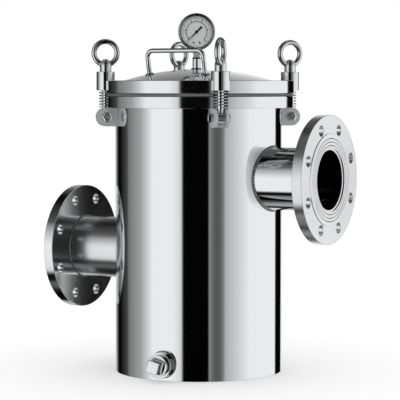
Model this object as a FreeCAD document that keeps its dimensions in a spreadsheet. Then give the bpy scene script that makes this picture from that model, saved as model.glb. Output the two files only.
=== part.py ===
import FreeCAD, Part
import math
import os
import re

import Sketcher
from FreeCAD import Placement, Rotation, Vector

# Pool hair strainer: an upright stainless vessel with a high inlet, a low outlet, a bolted lid with a
# gauge, and a hair basket inside. Millimetres, +Z up, origin in the middle of the vessel's underside,
# +X along the inlet nozzle.

# Driving sizes
SIZES = (
    ("shell_diameter", 292, "outside of the rolled shell"),
    ("shell_wall", 3, "sheet of the shell"),
    ("floor_thickness", 5, "bottom plate"),
    ("flange_overhang", 20.5, "vessel flange beyond the shell"),
    ("flange_thickness", 20, "vessel flange"),
    ("flange_height", 481, "top face of the vessel flange above the ground"),
    ("gasket_thickness", 5, "lid gasket"),
    ("gasket_step", 4, "inside edge of the gasket beyond the shell"),
    ("lid_overhang", 22, "lid ring beyond the shell"),
    ("lid_thickness", 22, "lid ring"),
    ("rim_chamfer", 1, "turned edges of the lid and vessel flange"),
    ("dome_inset", 15, "foot of the pressed dome inside the shell's outside"),
    ("dome_rise", 20, "height of the dome above the lid ring"),
    ("dome_wall", 4, "sheet of the dome"),
    ("bolt_overhang", 19, "swing bolts beyond the shell"),
    ("bolt_phase", 42, "degrees from the inlet to the first swing bolt"),
    ("pin_drop", 16, "hinge pin below the vessel flange"),
    ("pin_diameter", 10, "hinge pin"),
    ("pin_clearance", 0.05, "running fit round a pin or a pivot"),
    ("pin_head_diameter", 17, "head and washer of the hinge pin"),
    ("pin_head_length", 5, "head of the hinge pin"),
    ("washer_thickness", 2, "washers of the hinge pin and the drain plug"),
    ("pin_tail_diameter", 11.6, "riveted end of the hinge pin"),
    ("pin_tail_length", 3, "riveted end of the hinge pin"),
    ("fork_gap", 15, "between the cheeks of a bracket"),
    ("cheek_thickness", 4.5, "cheek of a bracket"),
    ("web_thickness", 5, "back of a bracket, against the shell"),
    ("bolt_diameter", 12, "thread of a swing bolt"),
    ("eye_diameter", 20, "eye of a swing bolt"),
    ("eye_play", 0.5, "beside the eye, each side"),
    ("thread_above_sleeve", 21.7, "swing bolt that stands above its sleeve"),
    ("tip_rounding", 2.5, "end of a swing bolt"),
    ("spring_diameter", 23.4, "outside of a spring"),
    ("spring_wire", 2.2, "wire of a spring"),
    ("spring_turns", 9, "turns of a spring"),
    ("seat_gap", 0.3, "between pieces that move apart"),
    ("notch_play", 0.5, "between a spring and its notch"),
    ("sleeve_diameter", 32, "clamp sleeve"),
    ("sleeve_flats", 27, "across the flats of a clamp sleeve"),
    ("sleeve_head", 15, "clamp sleeve above the lid"),
    ("sleeve_skirt", 17, "clamp sleeve below the lid's top face"),
    ("thread_clearance", 0.1, "radial gap of a nut or plug on its thread"),
    ("neck_diameter", 20, "neck of a ring nut"),
    ("neck_height", 19, "neck of a ring nut"),
    ("ring_rise", 32, "middle of a nut's ring above its seat"),
    ("ring_radius", 20, "middle line of a nut's ring"),
    ("ring_section", 9.2, "thickness of a nut's ring"),
    ("ring_turn_1", 14, "degrees that nut 1 stands turned"),
    ("ring_turn_2", -53, "degrees that nut 2 stands turned"),
    ("ring_turn_3", -13, "degrees that nut 3 stands turned"),
    ("ring_turn_4", -30, "degrees that nut 4 stands turned"),
    ("pipe_diameter", 108, "nozzle pipes"),
    ("pipe_wall", 3, "nozzle pipes"),
    ("pipe_recess", 3, "pipe end behind the flange face"),
    ("inlet_height", 340, "middle of the inlet"),
    ("outlet_height", 209, "middle of the outlet"),
    ("nozzle_length", 110, "shell to a flange face"),
    ("nozzle_flange_diameter", 220, "nozzle flanges"),
    ("nozzle_flange_thickness", 20, "nozzle flanges with their raised face"),
    ("face_diameter", 158, "raised face"),
    ("face_height", 2, "raised face"),
    ("hole_circle", 180, "bolt holes of a nozzle flange"),
    ("hole_diameter", 18, "bolt holes of a nozzle flange"),
    ("hole_count", 8, "bolt holes of a nozzle flange"),
    ("groove_radius", 58.5, "innermost groove of the raised face"),
    ("groove_step", 6, "from one groove to the next"),
    ("groove_width", 1.4, "sealing grooves"),
    ("groove_depth", 0.7, "sealing grooves"),
    ("weld_size", 6, "weld beads of the nozzles"),
    ("seat_height", 273, "top of the basket's seat ring"),
    ("seat_thickness", 5, "seat ring"),
    ("seat_width", 21, "seat ring"),
    ("basket_play", 4, "between the basket wall and its seat ring"),
    ("basket_sheet", 1.5, "sheet of the basket"),
    ("basket_depth", 235, "basket below its rim"),
    ("rim_play", 7, "between the basket rim and the shell"),
    ("basket_rim_thickness", 4, "rim of the basket"),
    ("slot_width", 6, "slots of the basket"),
    ("slot_length", 60, "slots of the basket"),
    ("slot_pitch", 72, "from one row of slots to the next"),
    ("slot_rows", 3, "rows of slots"),
    ("slots_round", 24, "slots in one row"),
    ("floor_slots", 12, "slots in the basket floor"),
    ("lug_height", 16, "ears that carry the bail"),
    ("lug_thickness", 4, "ears that carry the bail"),
    ("lug_width", 14, "ears that carry the bail"),
    ("bail_wire", 6, "wire of the bail"),
    ("lug_inset", 16, "middle of an ear inside the rim's edge"),
    ("bail_reach", 96, "middle line of the bail from its pivots to its top"),
    ("bail_corner", 70, "bends of the bail"),
    ("drain_height", 28, "middle of the drain socket"),
    ("drain_angle", -85, "degrees from the inlet to the drain"),
    ("drain_socket_diameter", 44, "drain socket"),
    ("drain_reach", 17, "drain socket outside the shell"),
    ("drain_weld_size", 3, "weld bead of the drain socket"),
    ("plug_diameter", 33.2, "thread of the drain plug"),
    ("plug_thread", 15, "length of thread in the socket"),
    ("plug_collar", 37, "collar of the drain plug"),
    ("plug_collar_length", 6, "collar of the drain plug"),
    ("plug_head", 21, "square head of the drain plug"),
    ("plug_head_length", 18, "square head of the drain plug"),
    ("plug_head_turn", 12, "degrees that the square head stands turned"),
    ("plug_edge", 1.2, "chamfer of the square head"),
    ("handle_rod", 8, "rod of the lid handle"),
    ("handle_span", 110, "between the feet of the handle"),
    ("handle_offset", 75, "feet of the handle in front of the lid's middle"),
    ("handle_height", 42, "length of a handle leg up to the bar"),
    ("handle_lean", 17, "degrees that the handle leans outward"),
    ("handle_corner", 11, "bends of the handle"),
    ("handle_weld", 3, "weld bead round a handle foot"),
    ("gauge_offset", 8, "gauge socket in front of the lid's middle"),
    ("gauge_facing", 30, "degrees that the dial is turned toward the inlet"),
    ("gauge_socket_diameter", 14, "threaded socket under the gauge"),
    ("gauge_socket_height", 18, "threaded socket under the gauge"),
    ("gauge_thread", 10, "thread of the gauge"),
    ("gauge_thread_length", 14, "thread of the gauge"),
    ("gauge_seal_diameter", 15, "seal under the gauge"),
    ("gauge_seal_thickness", 2, "seal under the gauge"),
    ("shank_size", 12, "square shank of the gauge"),
    ("shank_height", 13.5, "square shank of the gauge"),
    ("case_radius", 31, "gauge case"),
    ("case_wall", 1.2, "gauge case"),
    ("case_back", 14, "gauge case behind the stem's middle"),
    ("case_front", 9, "gauge case in front of the stem's middle"),
    ("case_edge", 3, "rounding of the case back"),
    ("bezel_sheet", 1.2, "bezel of the gauge"),
    ("bezel_grip", 2.7, "length of bezel on the case"),
    ("bezel_depth", 4.5, "bezel in front of the case"),
    ("window_radius", 25, "visible window of the gauge"),
    ("glass_thickness", 2, "window of the gauge"),
    ("dial_radius", 29, "dial plate"),
    ("dial_thickness", 0.8, "dial plate"),
    ("dial_front", 5, "dial plate in front of the stem's middle"),
    ("dial_screw_drop", 18.3, "dial screws below the dial's middle"),
    ("dial_screw_spread", 5.2, "dial screws to either side"),
    ("dial_screw_head", 3.4, "head of a dial screw"),
    ("pointer_length", 20.5, "pointer tip from the dial's middle"),
    ("pointer_tail", 13, "pointer tail from the dial's middle"),
    ("pointer_width", 3, "pointer at its widest"),
    ("pointer_thickness", 0.6, "pointer"),
    ("pointer_hub", 5, "hub of the pointer"),
    ("pointer_zero", 45, "degrees below level where the pointer rests, on the left"),
    ("arbor_diameter", 2, "shaft of the pointer and pivot of the sector"),
    ("pinion_radius", 2.4, "pinion, at its pitch line"),
    ("sector_radius", 14.4, "gear sector, at its pitch line"),
    ("sector_span", 53, "degrees of the gear sector"),
    ("sector_margin", 4, "degrees of the gear sector beyond its rest in mesh"),
    ("gear_width", 2.4, "pinion and gear sector"),
    ("gear_gap", 0.3, "between pinion and gear sector"),
    ("plate_thickness", 1.5, "plate of the movement"),
    ("tube_radius", 21.5, "middle line of the bourdon tube"),
    ("tube_width", 4.4, "flattened section of the bourdon tube, along the dial's axis"),
    ("tube_depth", 2, "flattened section of the bourdon tube, across"),
    ("tube_sweep", 250, "degrees of the bourdon tube"),
)

doc = FreeCAD.newDocument("pool_hair_strainer")
sheet = doc.addObject("Spreadsheet::Sheet", "Sizes")
for row, (alias, value, meaning) in enumerate(SIZES, 1):
    sheet.set(f"A{row}", meaning)
    sheet.set(f"B{row}", str(value))
    sheet.setAlias(f"B{row}", alias)
doc.recompute()

NAMES = {alias for alias, value, meaning in SIZES}
PIECES = []

# Derived places, as formulas of the driving sizes
SHELL_RADIUS = "(shell_diameter / 2)"
SHELL_INSIDE = "(shell_diameter / 2 - shell_wall)"
FLANGE_RADIUS = "(shell_diameter / 2 + flange_overhang)"
LID_RADIUS = "(shell_diameter / 2 + lid_overhang)"
BOLT_RADIUS = "(shell_diameter / 2 + bolt_overhang)"
NOZZLE_REACH = "(shell_diameter / 2 + nozzle_length)"
FLANGE_UNDERSIDE = "(flange_height - flange_thickness)"
LID_UNDERSIDE = "(flange_height + gasket_thickness)"
LID_TOP = "(flange_height + gasket_thickness + lid_thickness)"
PIN_HEIGHT = "(flange_height - flange_thickness - pin_drop)"
LID_ABOVE_PIN = "(pin_drop + flange_thickness + gasket_thickness + lid_thickness)"
NUT_SEAT = f"({LID_ABOVE_PIN} + seat_gap + sleeve_head)"
DOME_FOOT = "(shell_diameter / 2 - dome_inset)"
DOME_RADIUS = f"(({DOME_FOOT} ^ 2 + dome_rise ^ 2) / (2 * dome_rise))"
DOME_MIDDLE = f"({LID_TOP} + dome_rise - {DOME_RADIUS})"
DRAIN_FACE = "(shell_diameter / 2 + drain_reach)"
GAUGE_HEIGHT = (f"({LID_TOP} + dome_rise + gauge_socket_height + gauge_seal_thickness"
                " + shank_height + case_radius)")
SHANK_FOOT = "(case_radius + shank_height)"
BASKET_TOP = "(seat_height + seat_gap + basket_rim_thickness)"
SEAT_RADIUS = f"({SHELL_INSIDE} - seat_width)"
BASKET_RADIUS = f"({SEAT_RADIUS} - basket_play)"
BASKET_INSIDE = f"({BASKET_RADIUS} - basket_sheet)"
BASKET_RIM = f"({SHELL_INSIDE} - rim_play)"
LUG_PLACE = f"({BASKET_RIM} - lug_inset)"
BAIL_HEIGHT = f"({BASKET_TOP} + lug_height / 2)"


# Tools for the document

def cells(formula):
    """Return the formula with every named size written as its sheet cell."""
    def cell(word):
        return "Sizes." + word.group() if word.group() in NAMES else word.group()
    return re.sub(r"[a-z][a-z_0-9]*", cell, formula)


def bind(item, field, formula):
    item.setExpression(field, cells(formula))


def size(alias):
    """Return a driving size as a number, for angles that a placement combines."""
    return float(sheet.get(alias))


def keep(item, label):
    """Mark an object as a finished piece, which is written under this name."""
    item.Label = label
    PIECES.append(item)
    return item


def body(name):
    return doc.addObject("PartDesign::Body", name)


def plane(owner, role):
    return next(item for item in owner.Origin.OriginFeatures if item.Role == role)


def sketch(owner, role="XY_Plane", lift=None, turn=None, turn_axis=Vector(0, 0, 1)):
    """Start a sketch on one of the body's own planes, lifted or turned by formulas."""
    drawing = owner.newObject("Sketcher::SketchObject", "Sketch")
    drawing.AttachmentSupport = (plane(owner, role), [""])
    drawing.MapMode = "FlatFace"
    if turn:
        drawing.AttachmentOffset = Placement(Vector(), Rotation(turn_axis, 1))
        bind(drawing, "AttachmentOffset.Rotation.Angle", turn)
    if lift:
        bind(drawing, "AttachmentOffset.Base.z", lift)
    return drawing


def pin_point(drawing, line, point, across, up):
    """Hold a point of the sketch at formulas for its two coordinates."""
    for kind, axis, formula in (("DistanceX", -2, across), ("DistanceY", -1, up)):
        if formula == "0":
            drawing.addConstraint(Sketcher.Constraint("PointOnObject", line, point, axis))
        else:
            index = drawing.addConstraint(Sketcher.Constraint(kind, -1, 1, line, point, 5.0))
            bind(drawing, f"Constraints[{index}]", formula)


def outline(drawing, corners):
    """Draw a closed outline of straight lines through the given corners."""
    count = len(corners)
    spots = []
    for index in range(count):
        angle = 2 * math.pi * index / count
        spots.append(Vector(50 * math.cos(angle), 50 * math.sin(angle), 0))
    lines = drawing.addGeometry(
        [Part.LineSegment(spots[index], spots[(index + 1) % count]) for index in range(count)], False)
    for index in range(count):
        follower = lines[(index + 1) % count]
        drawing.addConstraint(Sketcher.Constraint("Coincident", lines[index], 2, follower, 1))
    for line, (across, up) in zip(lines, corners):
        pin_point(drawing, line, 1, across, up)


def rectangle(drawing, left, right, low, high):
    outline(drawing, ((left, low), (right, low), (right, high), (left, high)))


def circle(drawing, radius, across="0", up="0"):
    ring = drawing.addGeometry(Part.Circle(Vector(3, 4, 0), Vector(0, 0, 1), 5), False)
    pin_point(drawing, ring, 3, across, up)
    index = drawing.addConstraint(Sketcher.Constraint("Radius", ring, 5))
    bind(drawing, f"Constraints[{index}]", radius)


def revolve(owner, drawing, axis="V_Axis"):
    turned = owner.newObject("PartDesign::Revolution", "Revolution")
    turned.Profile = drawing
    turned.ReferenceAxis = (drawing, [axis])
    turned.Angle = 360
    return turned


def pad(owner, drawing, length, both_ways=False, backward=False):
    solid = owner.newObject("PartDesign::Pad", "Pad")
    solid.Profile = drawing
    solid.Midplane = both_ways
    solid.Reversed = backward
    bind(solid, "Length", length)
    return solid


def pocket(owner, drawing, length=None, both_ways=False, forward=False):
    """Cut the sketch's area: through all, or to a length behind or in front of its plane."""
    cut = owner.newObject("PartDesign::Pocket", "Pocket")
    cut.Profile = drawing
    cut.Midplane = both_ways
    cut.Reversed = forward
    if length:
        bind(cut, "Length", length)
    else:
        cut.Type = "ThroughAll"
    return cut


def around(owner, features, drawing, count):
    """Repeat features round the normal of a sketch."""
    pattern = owner.newObject("PartDesign::PolarPattern", "PolarPattern")
    pattern.Originals = features
    pattern.Axis = (drawing, ["N_Axis"])
    pattern.Angle = 360
    bind(pattern, "Occurrences", count)
    owner.Tip = pattern
    return pattern


def place(item, x=None, y=None, z=None, turn=None, turn_axis=Vector(0, 0, 1)):
    """Place an item by formulas."""
    if turn:
        item.Placement = Placement(Vector(), Rotation(turn_axis, 1))
        bind(item, "Placement.Rotation.Angle", turn)
    for field, formula in (("x", x), ("y", y), ("z", z)):
        if formula:
            bind(item, "Placement.Base." + field, formula)
    return item


def solid(kind, name, **formulas):
    """Make a Part primitive whose sizes are formulas."""
    item = doc.addObject("Part::" + kind, name)
    for field, formula in formulas.items():
        bind(item, field, formula)
    return item


def cut(name, base, tool):
    item = doc.addObject("Part::Cut", name)
    item.Base = base
    item.Tool = tool
    return item


def common(name, base, tool):
    item = doc.addObject("Part::Common", name)
    item.Base = base
    item.Tool = tool
    return item


def fuse(name, items):
    item = doc.addObject("Part::MultiFuse", name)
    item.Shapes = items
    return item


def group(name, items):
    """Gather shapes in one compound: a placed copy, or several separate solids."""
    item = doc.addObject("Part::Compound", name)
    item.Links = items
    return item


# Vessel shell with its three openings

def nozzle_hole(owner, radius, height, angle=None):
    """Cut a round hole through one side of the shell."""
    drawing = sketch(owner, "YZ_Plane", turn=angle, turn_axis=Vector(0, 1, 0))
    circle(drawing, radius, up=height)
    pocket(owner, drawing, SHELL_RADIUS, forward=True)


def make_shell():
    shell = body("Shell")
    ring = sketch(shell)
    circle(ring, SHELL_RADIUS)
    circle(ring, SHELL_INSIDE)
    pad(shell, ring, "flange_height")
    nozzle_hole(shell, "pipe_diameter / 2", "inlet_height")
    nozzle_hole(shell, "pipe_diameter / 2", "outlet_height", "180")
    nozzle_hole(shell, "drain_socket_diameter / 2", "drain_height", "drain_angle")
    keep(shell, "shell")


def make_bottom_plate():
    keep(solid("Cylinder", "BottomPlate", Radius=SHELL_INSIDE, Height="floor_thickness"), "bottom_plate")


# Rings that the swing bolts pass: each has four notches, open at the edge

def notched_ring(name, label, corners):
    ring = body(name)
    profile = sketch(ring, "XZ_Plane")
    outline(profile, corners)
    revolve(ring, profile)
    end = sketch(ring)
    circle(end, "spring_diameter / 2 + notch_play", BOLT_RADIUS)
    bottom = pocket(ring, end, both_ways=True)
    mouth = sketch(ring)
    rectangle(mouth, BOLT_RADIUS, f"{BOLT_RADIUS} + sleeve_diameter",
              "-spring_diameter / 2 - notch_play", "spring_diameter / 2 + notch_play")
    sides = pocket(ring, mouth, both_ways=True)
    around(ring, [bottom, sides], mouth, "4")
    keep(place(ring, turn="bolt_phase"), label)


def make_closure_rings():
    notched_ring("VesselFlange", "vessel_flange", (
        (SHELL_RADIUS, FLANGE_UNDERSIDE),
        (FLANGE_RADIUS, FLANGE_UNDERSIDE),
        (FLANGE_RADIUS, "flange_height - rim_chamfer"),
        (f"{FLANGE_RADIUS} - rim_chamfer", "flange_height"),
        (SHELL_RADIUS, "flange_height")))
    notched_ring("LidGasket", "lid_gasket", (
        (f"{SHELL_RADIUS} + gasket_step", "flange_height"),
        (LID_RADIUS, "flange_height"),
        (LID_RADIUS, LID_UNDERSIDE),
        (f"{SHELL_RADIUS} + gasket_step", LID_UNDERSIDE)))
    notched_ring("LidRim", "lid_rim", (
        (DOME_FOOT, LID_UNDERSIDE),
        (f"{LID_RADIUS} - rim_chamfer", LID_UNDERSIDE),
        (LID_RADIUS, f"{LID_UNDERSIDE} + rim_chamfer"),
        (LID_RADIUS, f"{LID_TOP} - rim_chamfer"),
        (f"{LID_RADIUS} - rim_chamfer", LID_TOP),
        (DOME_FOOT, LID_TOP)))


# Lid dome: a shallow pressed cap whose edge stands inside the lid ring

def dome_ball(name, radius):
    return place(solid("Sphere", name, Radius=radius), z=DOME_MIDDLE)


def make_dome():
    core = place(solid("Cylinder", "DomeCore", Radius=DOME_FOOT, Height="2 * dome_rise"),
                 z=f"{LID_TOP} - dome_rise / 2")
    outside = common("DomeOutside", core, dome_ball("DomeBall", DOME_RADIUS))
    sheet_cap = cut("DomeSheet", outside, dome_ball("DomeHollow", f"{DOME_RADIUS} - dome_wall"))
    bore = place(solid("Cylinder", "DomeBore", Radius="gauge_thread / 2", Height="3 * dome_rise"),
                 y="-gauge_offset", z=f"{LID_TOP} - dome_rise")
    keep(cut("LidDome", sheet_cap, bore), "lid_dome")


# Lid handle: a rod with two bends that leans outward, welded on the dome

def rod(name, length, x=None, z=None, level=False):
    item = solid("Cylinder", name, Radius="handle_rod / 2", Height=length)
    if level:
        return place(item, x=x, z=z, turn="90", turn_axis=Vector(0, 1, 0))
    return place(item, x=x, z=z)


def rod_bend(name, side):
    """Quarter ring that joins a leg to the bar, on the left (-1) or on the right (+1)."""
    item = solid("Torus", name, Radius1="handle_corner", Radius2="handle_rod / 2", Angle3="90")
    start = 0 if side > 0 else 90
    item.Placement = Placement(Vector(), Rotation(Vector(1, 0, 0), 90) * Rotation(Vector(0, 0, 1), start))
    return place(item, x=f"{side} * (handle_span / 2 - handle_corner)", z="handle_height - handle_corner")


def make_handle():
    sunk = "handle_corner"
    parts = []
    for side in (-1, 1):
        parts.append(rod("HandleLeg", f"handle_height - handle_corner + {sunk}",
                         x=f"{side} * handle_span / 2", z=f"-{sunk}"))
        parts.append(rod_bend("HandleBend", side))
    parts.append(rod("HandleBar", "handle_span - 2 * handle_corner",
                     x="-handle_span / 2 + handle_corner", z="handle_height", level=True))
    upright = fuse("HandleRod", parts)
    foot = (f"{DOME_MIDDLE} + sqrt({DOME_RADIUS} ^ 2 - handle_span ^ 2 / 4 - handle_offset ^ 2)")
    place(upright, y="-handle_offset", z=foot, turn="handle_lean", turn_axis=Vector(1, 0, 0))
    handle = keep(cut("LidHandle", upright, dome_ball("HandleBall", DOME_RADIUS)), "lid_handle")
    cone = solid("Cone", "HandleBead", Radius1="handle_rod / 2 + 2 * handle_weld",
                 Radius2="handle_rod / 2", Height="3 * handle_weld")
    place(cone, x="-handle_span / 2", z="-1.5 * handle_weld")
    leaning = place(group("HandleBeadLeaning", [cone]), y="-handle_offset", z=foot,
                    turn="handle_lean", turn_axis=Vector(1, 0, 0))
    left = cut("HandleBeadOnDome", leaning, dome_ball("BeadBall", DOME_RADIUS))
    right = doc.addObject("Part::Mirroring", "HandleBeadRight")
    right.Source = left
    right.Normal = Vector(1, 0, 0)
    rings = [cut("HandleBeadRing", bead, handle) for bead in (left, right)]
    keep(group("HandleWelds", rings), "handle_welds")


# Nozzles: one set of pieces along +X, placed again for the outlet

def both_nozzles(master, labels):
    for label, height, turn in zip(labels, ("inlet_height", "outlet_height"), (None, "180")):
        keep(place(group(label, [master]), z=height, turn=turn), label)


def nozzle_pipe():
    pipe = body("NozzlePipe")
    profile = sketch(pipe, "XZ_Plane")
    rectangle(profile, "shell_diameter / 4", f"{NOZZLE_REACH} - pipe_recess",
              "pipe_diameter / 2 - pipe_wall", "pipe_diameter / 2")
    revolve(pipe, profile, "H_Axis")
    vessel = sketch(pipe)
    circle(vessel, SHELL_INSIDE)
    pocket(pipe, vessel, both_ways=True)
    return pipe


def flange_profile():
    """Half section of a nozzle flange, with three sealing grooves in its raised face."""
    face = NOZZLE_REACH
    back = f"{NOZZLE_REACH} - nozzle_flange_thickness"
    step = f"{NOZZLE_REACH} - face_height"
    corners = [(back, "pipe_diameter / 2"), (back, "nozzle_flange_diameter / 2"),
               (step, "nozzle_flange_diameter / 2"), (step, "face_diameter / 2"),
               (face, "face_diameter / 2")]
    for number in (2, 1, 0):
        middle = f"groove_radius + {number} * groove_step"
        corners.append((face, f"{middle} + groove_width / 2"))
        corners.append((f"{face} - groove_depth", middle))
        corners.append((face, f"{middle} - groove_width / 2"))
    corners.append((face, "pipe_diameter / 2"))
    return corners


def nozzle_flange():
    flange = body("NozzleFlange")
    profile = sketch(flange, "XZ_Plane")
    outline(profile, flange_profile())
    revolve(flange, profile, "H_Axis")
    holes = sketch(flange, "YZ_Plane")
    circle(holes, "hole_diameter / 2", "hole_circle / 2 * cos(180 / hole_count)",
           "hole_circle / 2 * sin(180 / hole_count)")
    hole = pocket(flange, holes, both_ways=True)
    around(flange, [hole], holes, "hole_count")
    return flange


def saddle_weld(name, pipe_radius, bead):
    """Bead round a pipe along +X where it meets the shell."""
    weld = body(name)
    profile = sketch(weld, "XZ_Plane")
    rectangle(profile, "shell_diameter / 4", "shell_diameter", pipe_radius, f"{pipe_radius} + {bead}")
    revolve(weld, profile, "H_Axis")
    vessel = sketch(weld)
    circle(vessel, SHELL_RADIUS)
    pocket(weld, vessel, both_ways=True)
    beyond = sketch(weld)
    circle(beyond, f"{SHELL_RADIUS} + {bead}")
    circle(beyond, "2 * shell_diameter")
    pocket(weld, beyond, both_ways=True)
    return weld


def flange_weld():
    """Fillet bead in the corner between a pipe and the back of its flange."""
    weld = body("FlangeWeld")
    profile = sketch(weld, "XZ_Plane")
    back = f"{NOZZLE_REACH} - nozzle_flange_thickness"
    outline(profile, ((f"{back} - weld_size", "pipe_diameter / 2"), (back, "pipe_diameter / 2"),
                      (back, "pipe_diameter / 2 + weld_size")))
    revolve(weld, profile, "H_Axis")
    return weld


def pair_of_welds(label, master):
    at_inlet = place(group(label + "_inlet", [master]), z="inlet_height")
    at_outlet = place(group(label + "_outlet", [master]), z="outlet_height", turn="180")
    keep(group(label, [at_inlet, at_outlet]), label)


def make_nozzles():
    both_nozzles(nozzle_pipe(), ("inlet_pipe", "outlet_pipe"))
    both_nozzles(nozzle_flange(), ("inlet_flange", "outlet_flange"))
    pair_of_welds("nozzle_welds", saddle_weld("SaddleWeld", "pipe_diameter / 2", "weld_size"))
    pair_of_welds("flange_welds", flange_weld())


# Drain: a threaded socket low in the shell, with a washer and a square-headed plug

def at_drain(item):
    return place(item, z="drain_height", turn="drain_angle")


def drain_ring(name, near, far, inside, outside):
    ring = body(name)
    profile = sketch(ring, "XZ_Plane")
    rectangle(profile, near, far, inside, outside)
    revolve(ring, profile, "H_Axis")
    return ring


def make_drain():
    thread = "plug_diameter / 2 + thread_clearance"
    socket = drain_ring("DrainSocket", "shell_diameter / 4", DRAIN_FACE, thread,
                        "drain_socket_diameter / 2")
    vessel = sketch(socket)
    circle(vessel, SHELL_INSIDE)
    pocket(socket, vessel, both_ways=True)
    keep(at_drain(socket), "drain_socket")
    weld = saddle_weld("DrainWeld", "drain_socket_diameter / 2", "drain_weld_size")
    keep(at_drain(weld), "drain_weld")
    washer = drain_ring("DrainWasher", DRAIN_FACE, f"{DRAIN_FACE} + washer_thickness", thread,
                        "plug_collar / 2")
    keep(at_drain(washer), "drain_washer")
    plug = body("DrainPlug")
    profile = sketch(plug, "XZ_Plane")
    collar = f"{DRAIN_FACE} + washer_thickness"
    outline(profile, ((f"{DRAIN_FACE} - plug_thread", "0"),
                      (f"{DRAIN_FACE} - plug_thread", "plug_diameter / 2 - plug_edge"),
                      (f"{DRAIN_FACE} - plug_thread + plug_edge", "plug_diameter / 2"),
                      (collar, "plug_diameter / 2"),
                      (collar, "plug_collar / 2"),
                      (f"{collar} + plug_collar_length", "plug_collar / 2"),
                      (f"{collar} + plug_collar_length", "0")))
    revolve(plug, profile, "H_Axis")
    square = sketch(plug, "YZ_Plane", lift=f"{collar} + plug_collar_length", turn="plug_head_turn")
    rectangle(square, "-plug_head / 2", "plug_head / 2", "-plug_head / 2", "plug_head / 2")
    pad(plug, square, "plug_head_length")
    keep(at_drain(plug), "drain_plug")


# Swing bolt station, made once: bracket on the vessel's axis, the rest with the hinge pin at the origin

def bolt_bracket():
    """Fork bent from plate, welded to the shell under the vessel flange, with a round end."""
    fork = body("BoltBracket")
    width = "fork_gap + 2 * cheek_thickness"
    side = sketch(fork, "XZ_Plane")
    rectangle(side, "shell_diameter / 4", BOLT_RADIUS, f"{PIN_HEIGHT} - pin_drop",
              f"{PIN_HEIGHT} + pin_drop")
    pad(fork, side, width, both_ways=True)
    end = sketch(fork, "XZ_Plane")
    circle(end, "pin_drop", BOLT_RADIUS, PIN_HEIGHT)
    pad(fork, end, width, both_ways=True)
    gap = sketch(fork)
    rectangle(gap, f"{SHELL_RADIUS} + web_thickness", f"2 * {BOLT_RADIUS}", "-fork_gap / 2", "fork_gap / 2")
    pocket(fork, gap, both_ways=True)
    bore = sketch(fork, "XZ_Plane")
    circle(bore, "pin_diameter / 2", BOLT_RADIUS, PIN_HEIGHT)
    pocket(fork, bore, both_ways=True)
    vessel = sketch(fork)
    circle(vessel, SHELL_RADIUS)
    pocket(fork, vessel, both_ways=True)
    return fork


def hinge_pin():
    """Headed pin along Y, its other end riveted over the washer."""
    pin = body("HingePin")
    cheek = "(fork_gap / 2 + cheek_thickness)"
    profile = sketch(pin, "XY_Plane")
    outline(profile, (("0", f"-{cheek} - pin_head_length"),
                      ("pin_head_diameter / 2 - 1", f"-{cheek} - pin_head_length"),
                      ("pin_head_diameter / 2", f"-{cheek} - pin_head_length + 1"),
                      ("pin_head_diameter / 2", f"-{cheek}"),
                      ("pin_diameter / 2", f"-{cheek}"),
                      ("pin_diameter / 2", f"{cheek} + washer_thickness"),
                      ("pin_tail_diameter / 2", f"{cheek} + washer_thickness"),
                      ("pin_diameter / 2", f"{cheek} + washer_thickness + pin_tail_length"),
                      ("0", f"{cheek} + washer_thickness + pin_tail_length")))
    revolve(pin, profile)
    return pin


def pin_washer():
    washer = body("PinWasher")
    cheek = "(fork_gap / 2 + cheek_thickness)"
    profile = sketch(washer, "XY_Plane")
    rectangle(profile, "pin_diameter / 2", "pin_head_diameter / 2", cheek, f"{cheek} + washer_thickness")
    revolve(washer, profile)
    return washer


def swing_bolt():
    bolt = body("SwingBolt")
    shank = sketch(bolt, "XZ_Plane")
    tip = f"{NUT_SEAT} + thread_above_sleeve"
    outline(shank, (("0", "0"), ("bolt_diameter / 2", "0"),
                    ("bolt_diameter / 2", f"{tip} - tip_rounding"),
                    ("bolt_diameter / 2 - tip_rounding * 0.3", f"{tip} - tip_rounding * 0.35"),
                    ("bolt_diameter / 2 - tip_rounding", tip), ("0", tip)))
    revolve(bolt, shank)
    eye = sketch(bolt, "XZ_Plane")
    circle(eye, "eye_diameter / 2")
    pad(bolt, eye, "fork_gap - 2 * eye_play", both_ways=True)
    bore = sketch(bolt, "XZ_Plane")
    circle(bore, "pin_diameter / 2 + pin_clearance")
    pocket(bolt, bore, both_ways=True)
    return bolt


def coil_spring():
    """Coil of half rings. Each half ring lies in a tilted plane, and their ends meet in line."""
    foot = "(pin_drop + seat_gap + spring_wire / 2)"
    top = f"({LID_ABOVE_PIN} - spring_wire / 2)"
    turns = int(size("spring_turns"))
    rise = f"(({top} - {foot}) / (2 * spring_turns))"
    reach = "((spring_diameter - spring_wire) / 2)"
    half = body("SpringHalf")
    section = sketch(half, "XZ_Plane")
    middle = f"sqrt({reach} ^ 2 + {rise} ^ 2 / 4)"
    rectangle(section, f"{middle} - spring_wire / 2", f"{middle} + spring_wire / 2",
              "-spring_wire / 2", "spring_wire / 2")
    revolve(half, section).Angle = 180
    place(half, turn=f"atan({rise} / (2 * {reach}))", turn_axis=Vector(0, 1, 0))
    halves = []
    for number in range(2 * turns):
        halves.append(place(group("SpringHalfTurned", [half]), z=f"{foot} + {rise} * {number + 0.5}",
                            turn="180" if number % 2 else None))
    return fuse("CoilSpring", halves)


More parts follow.
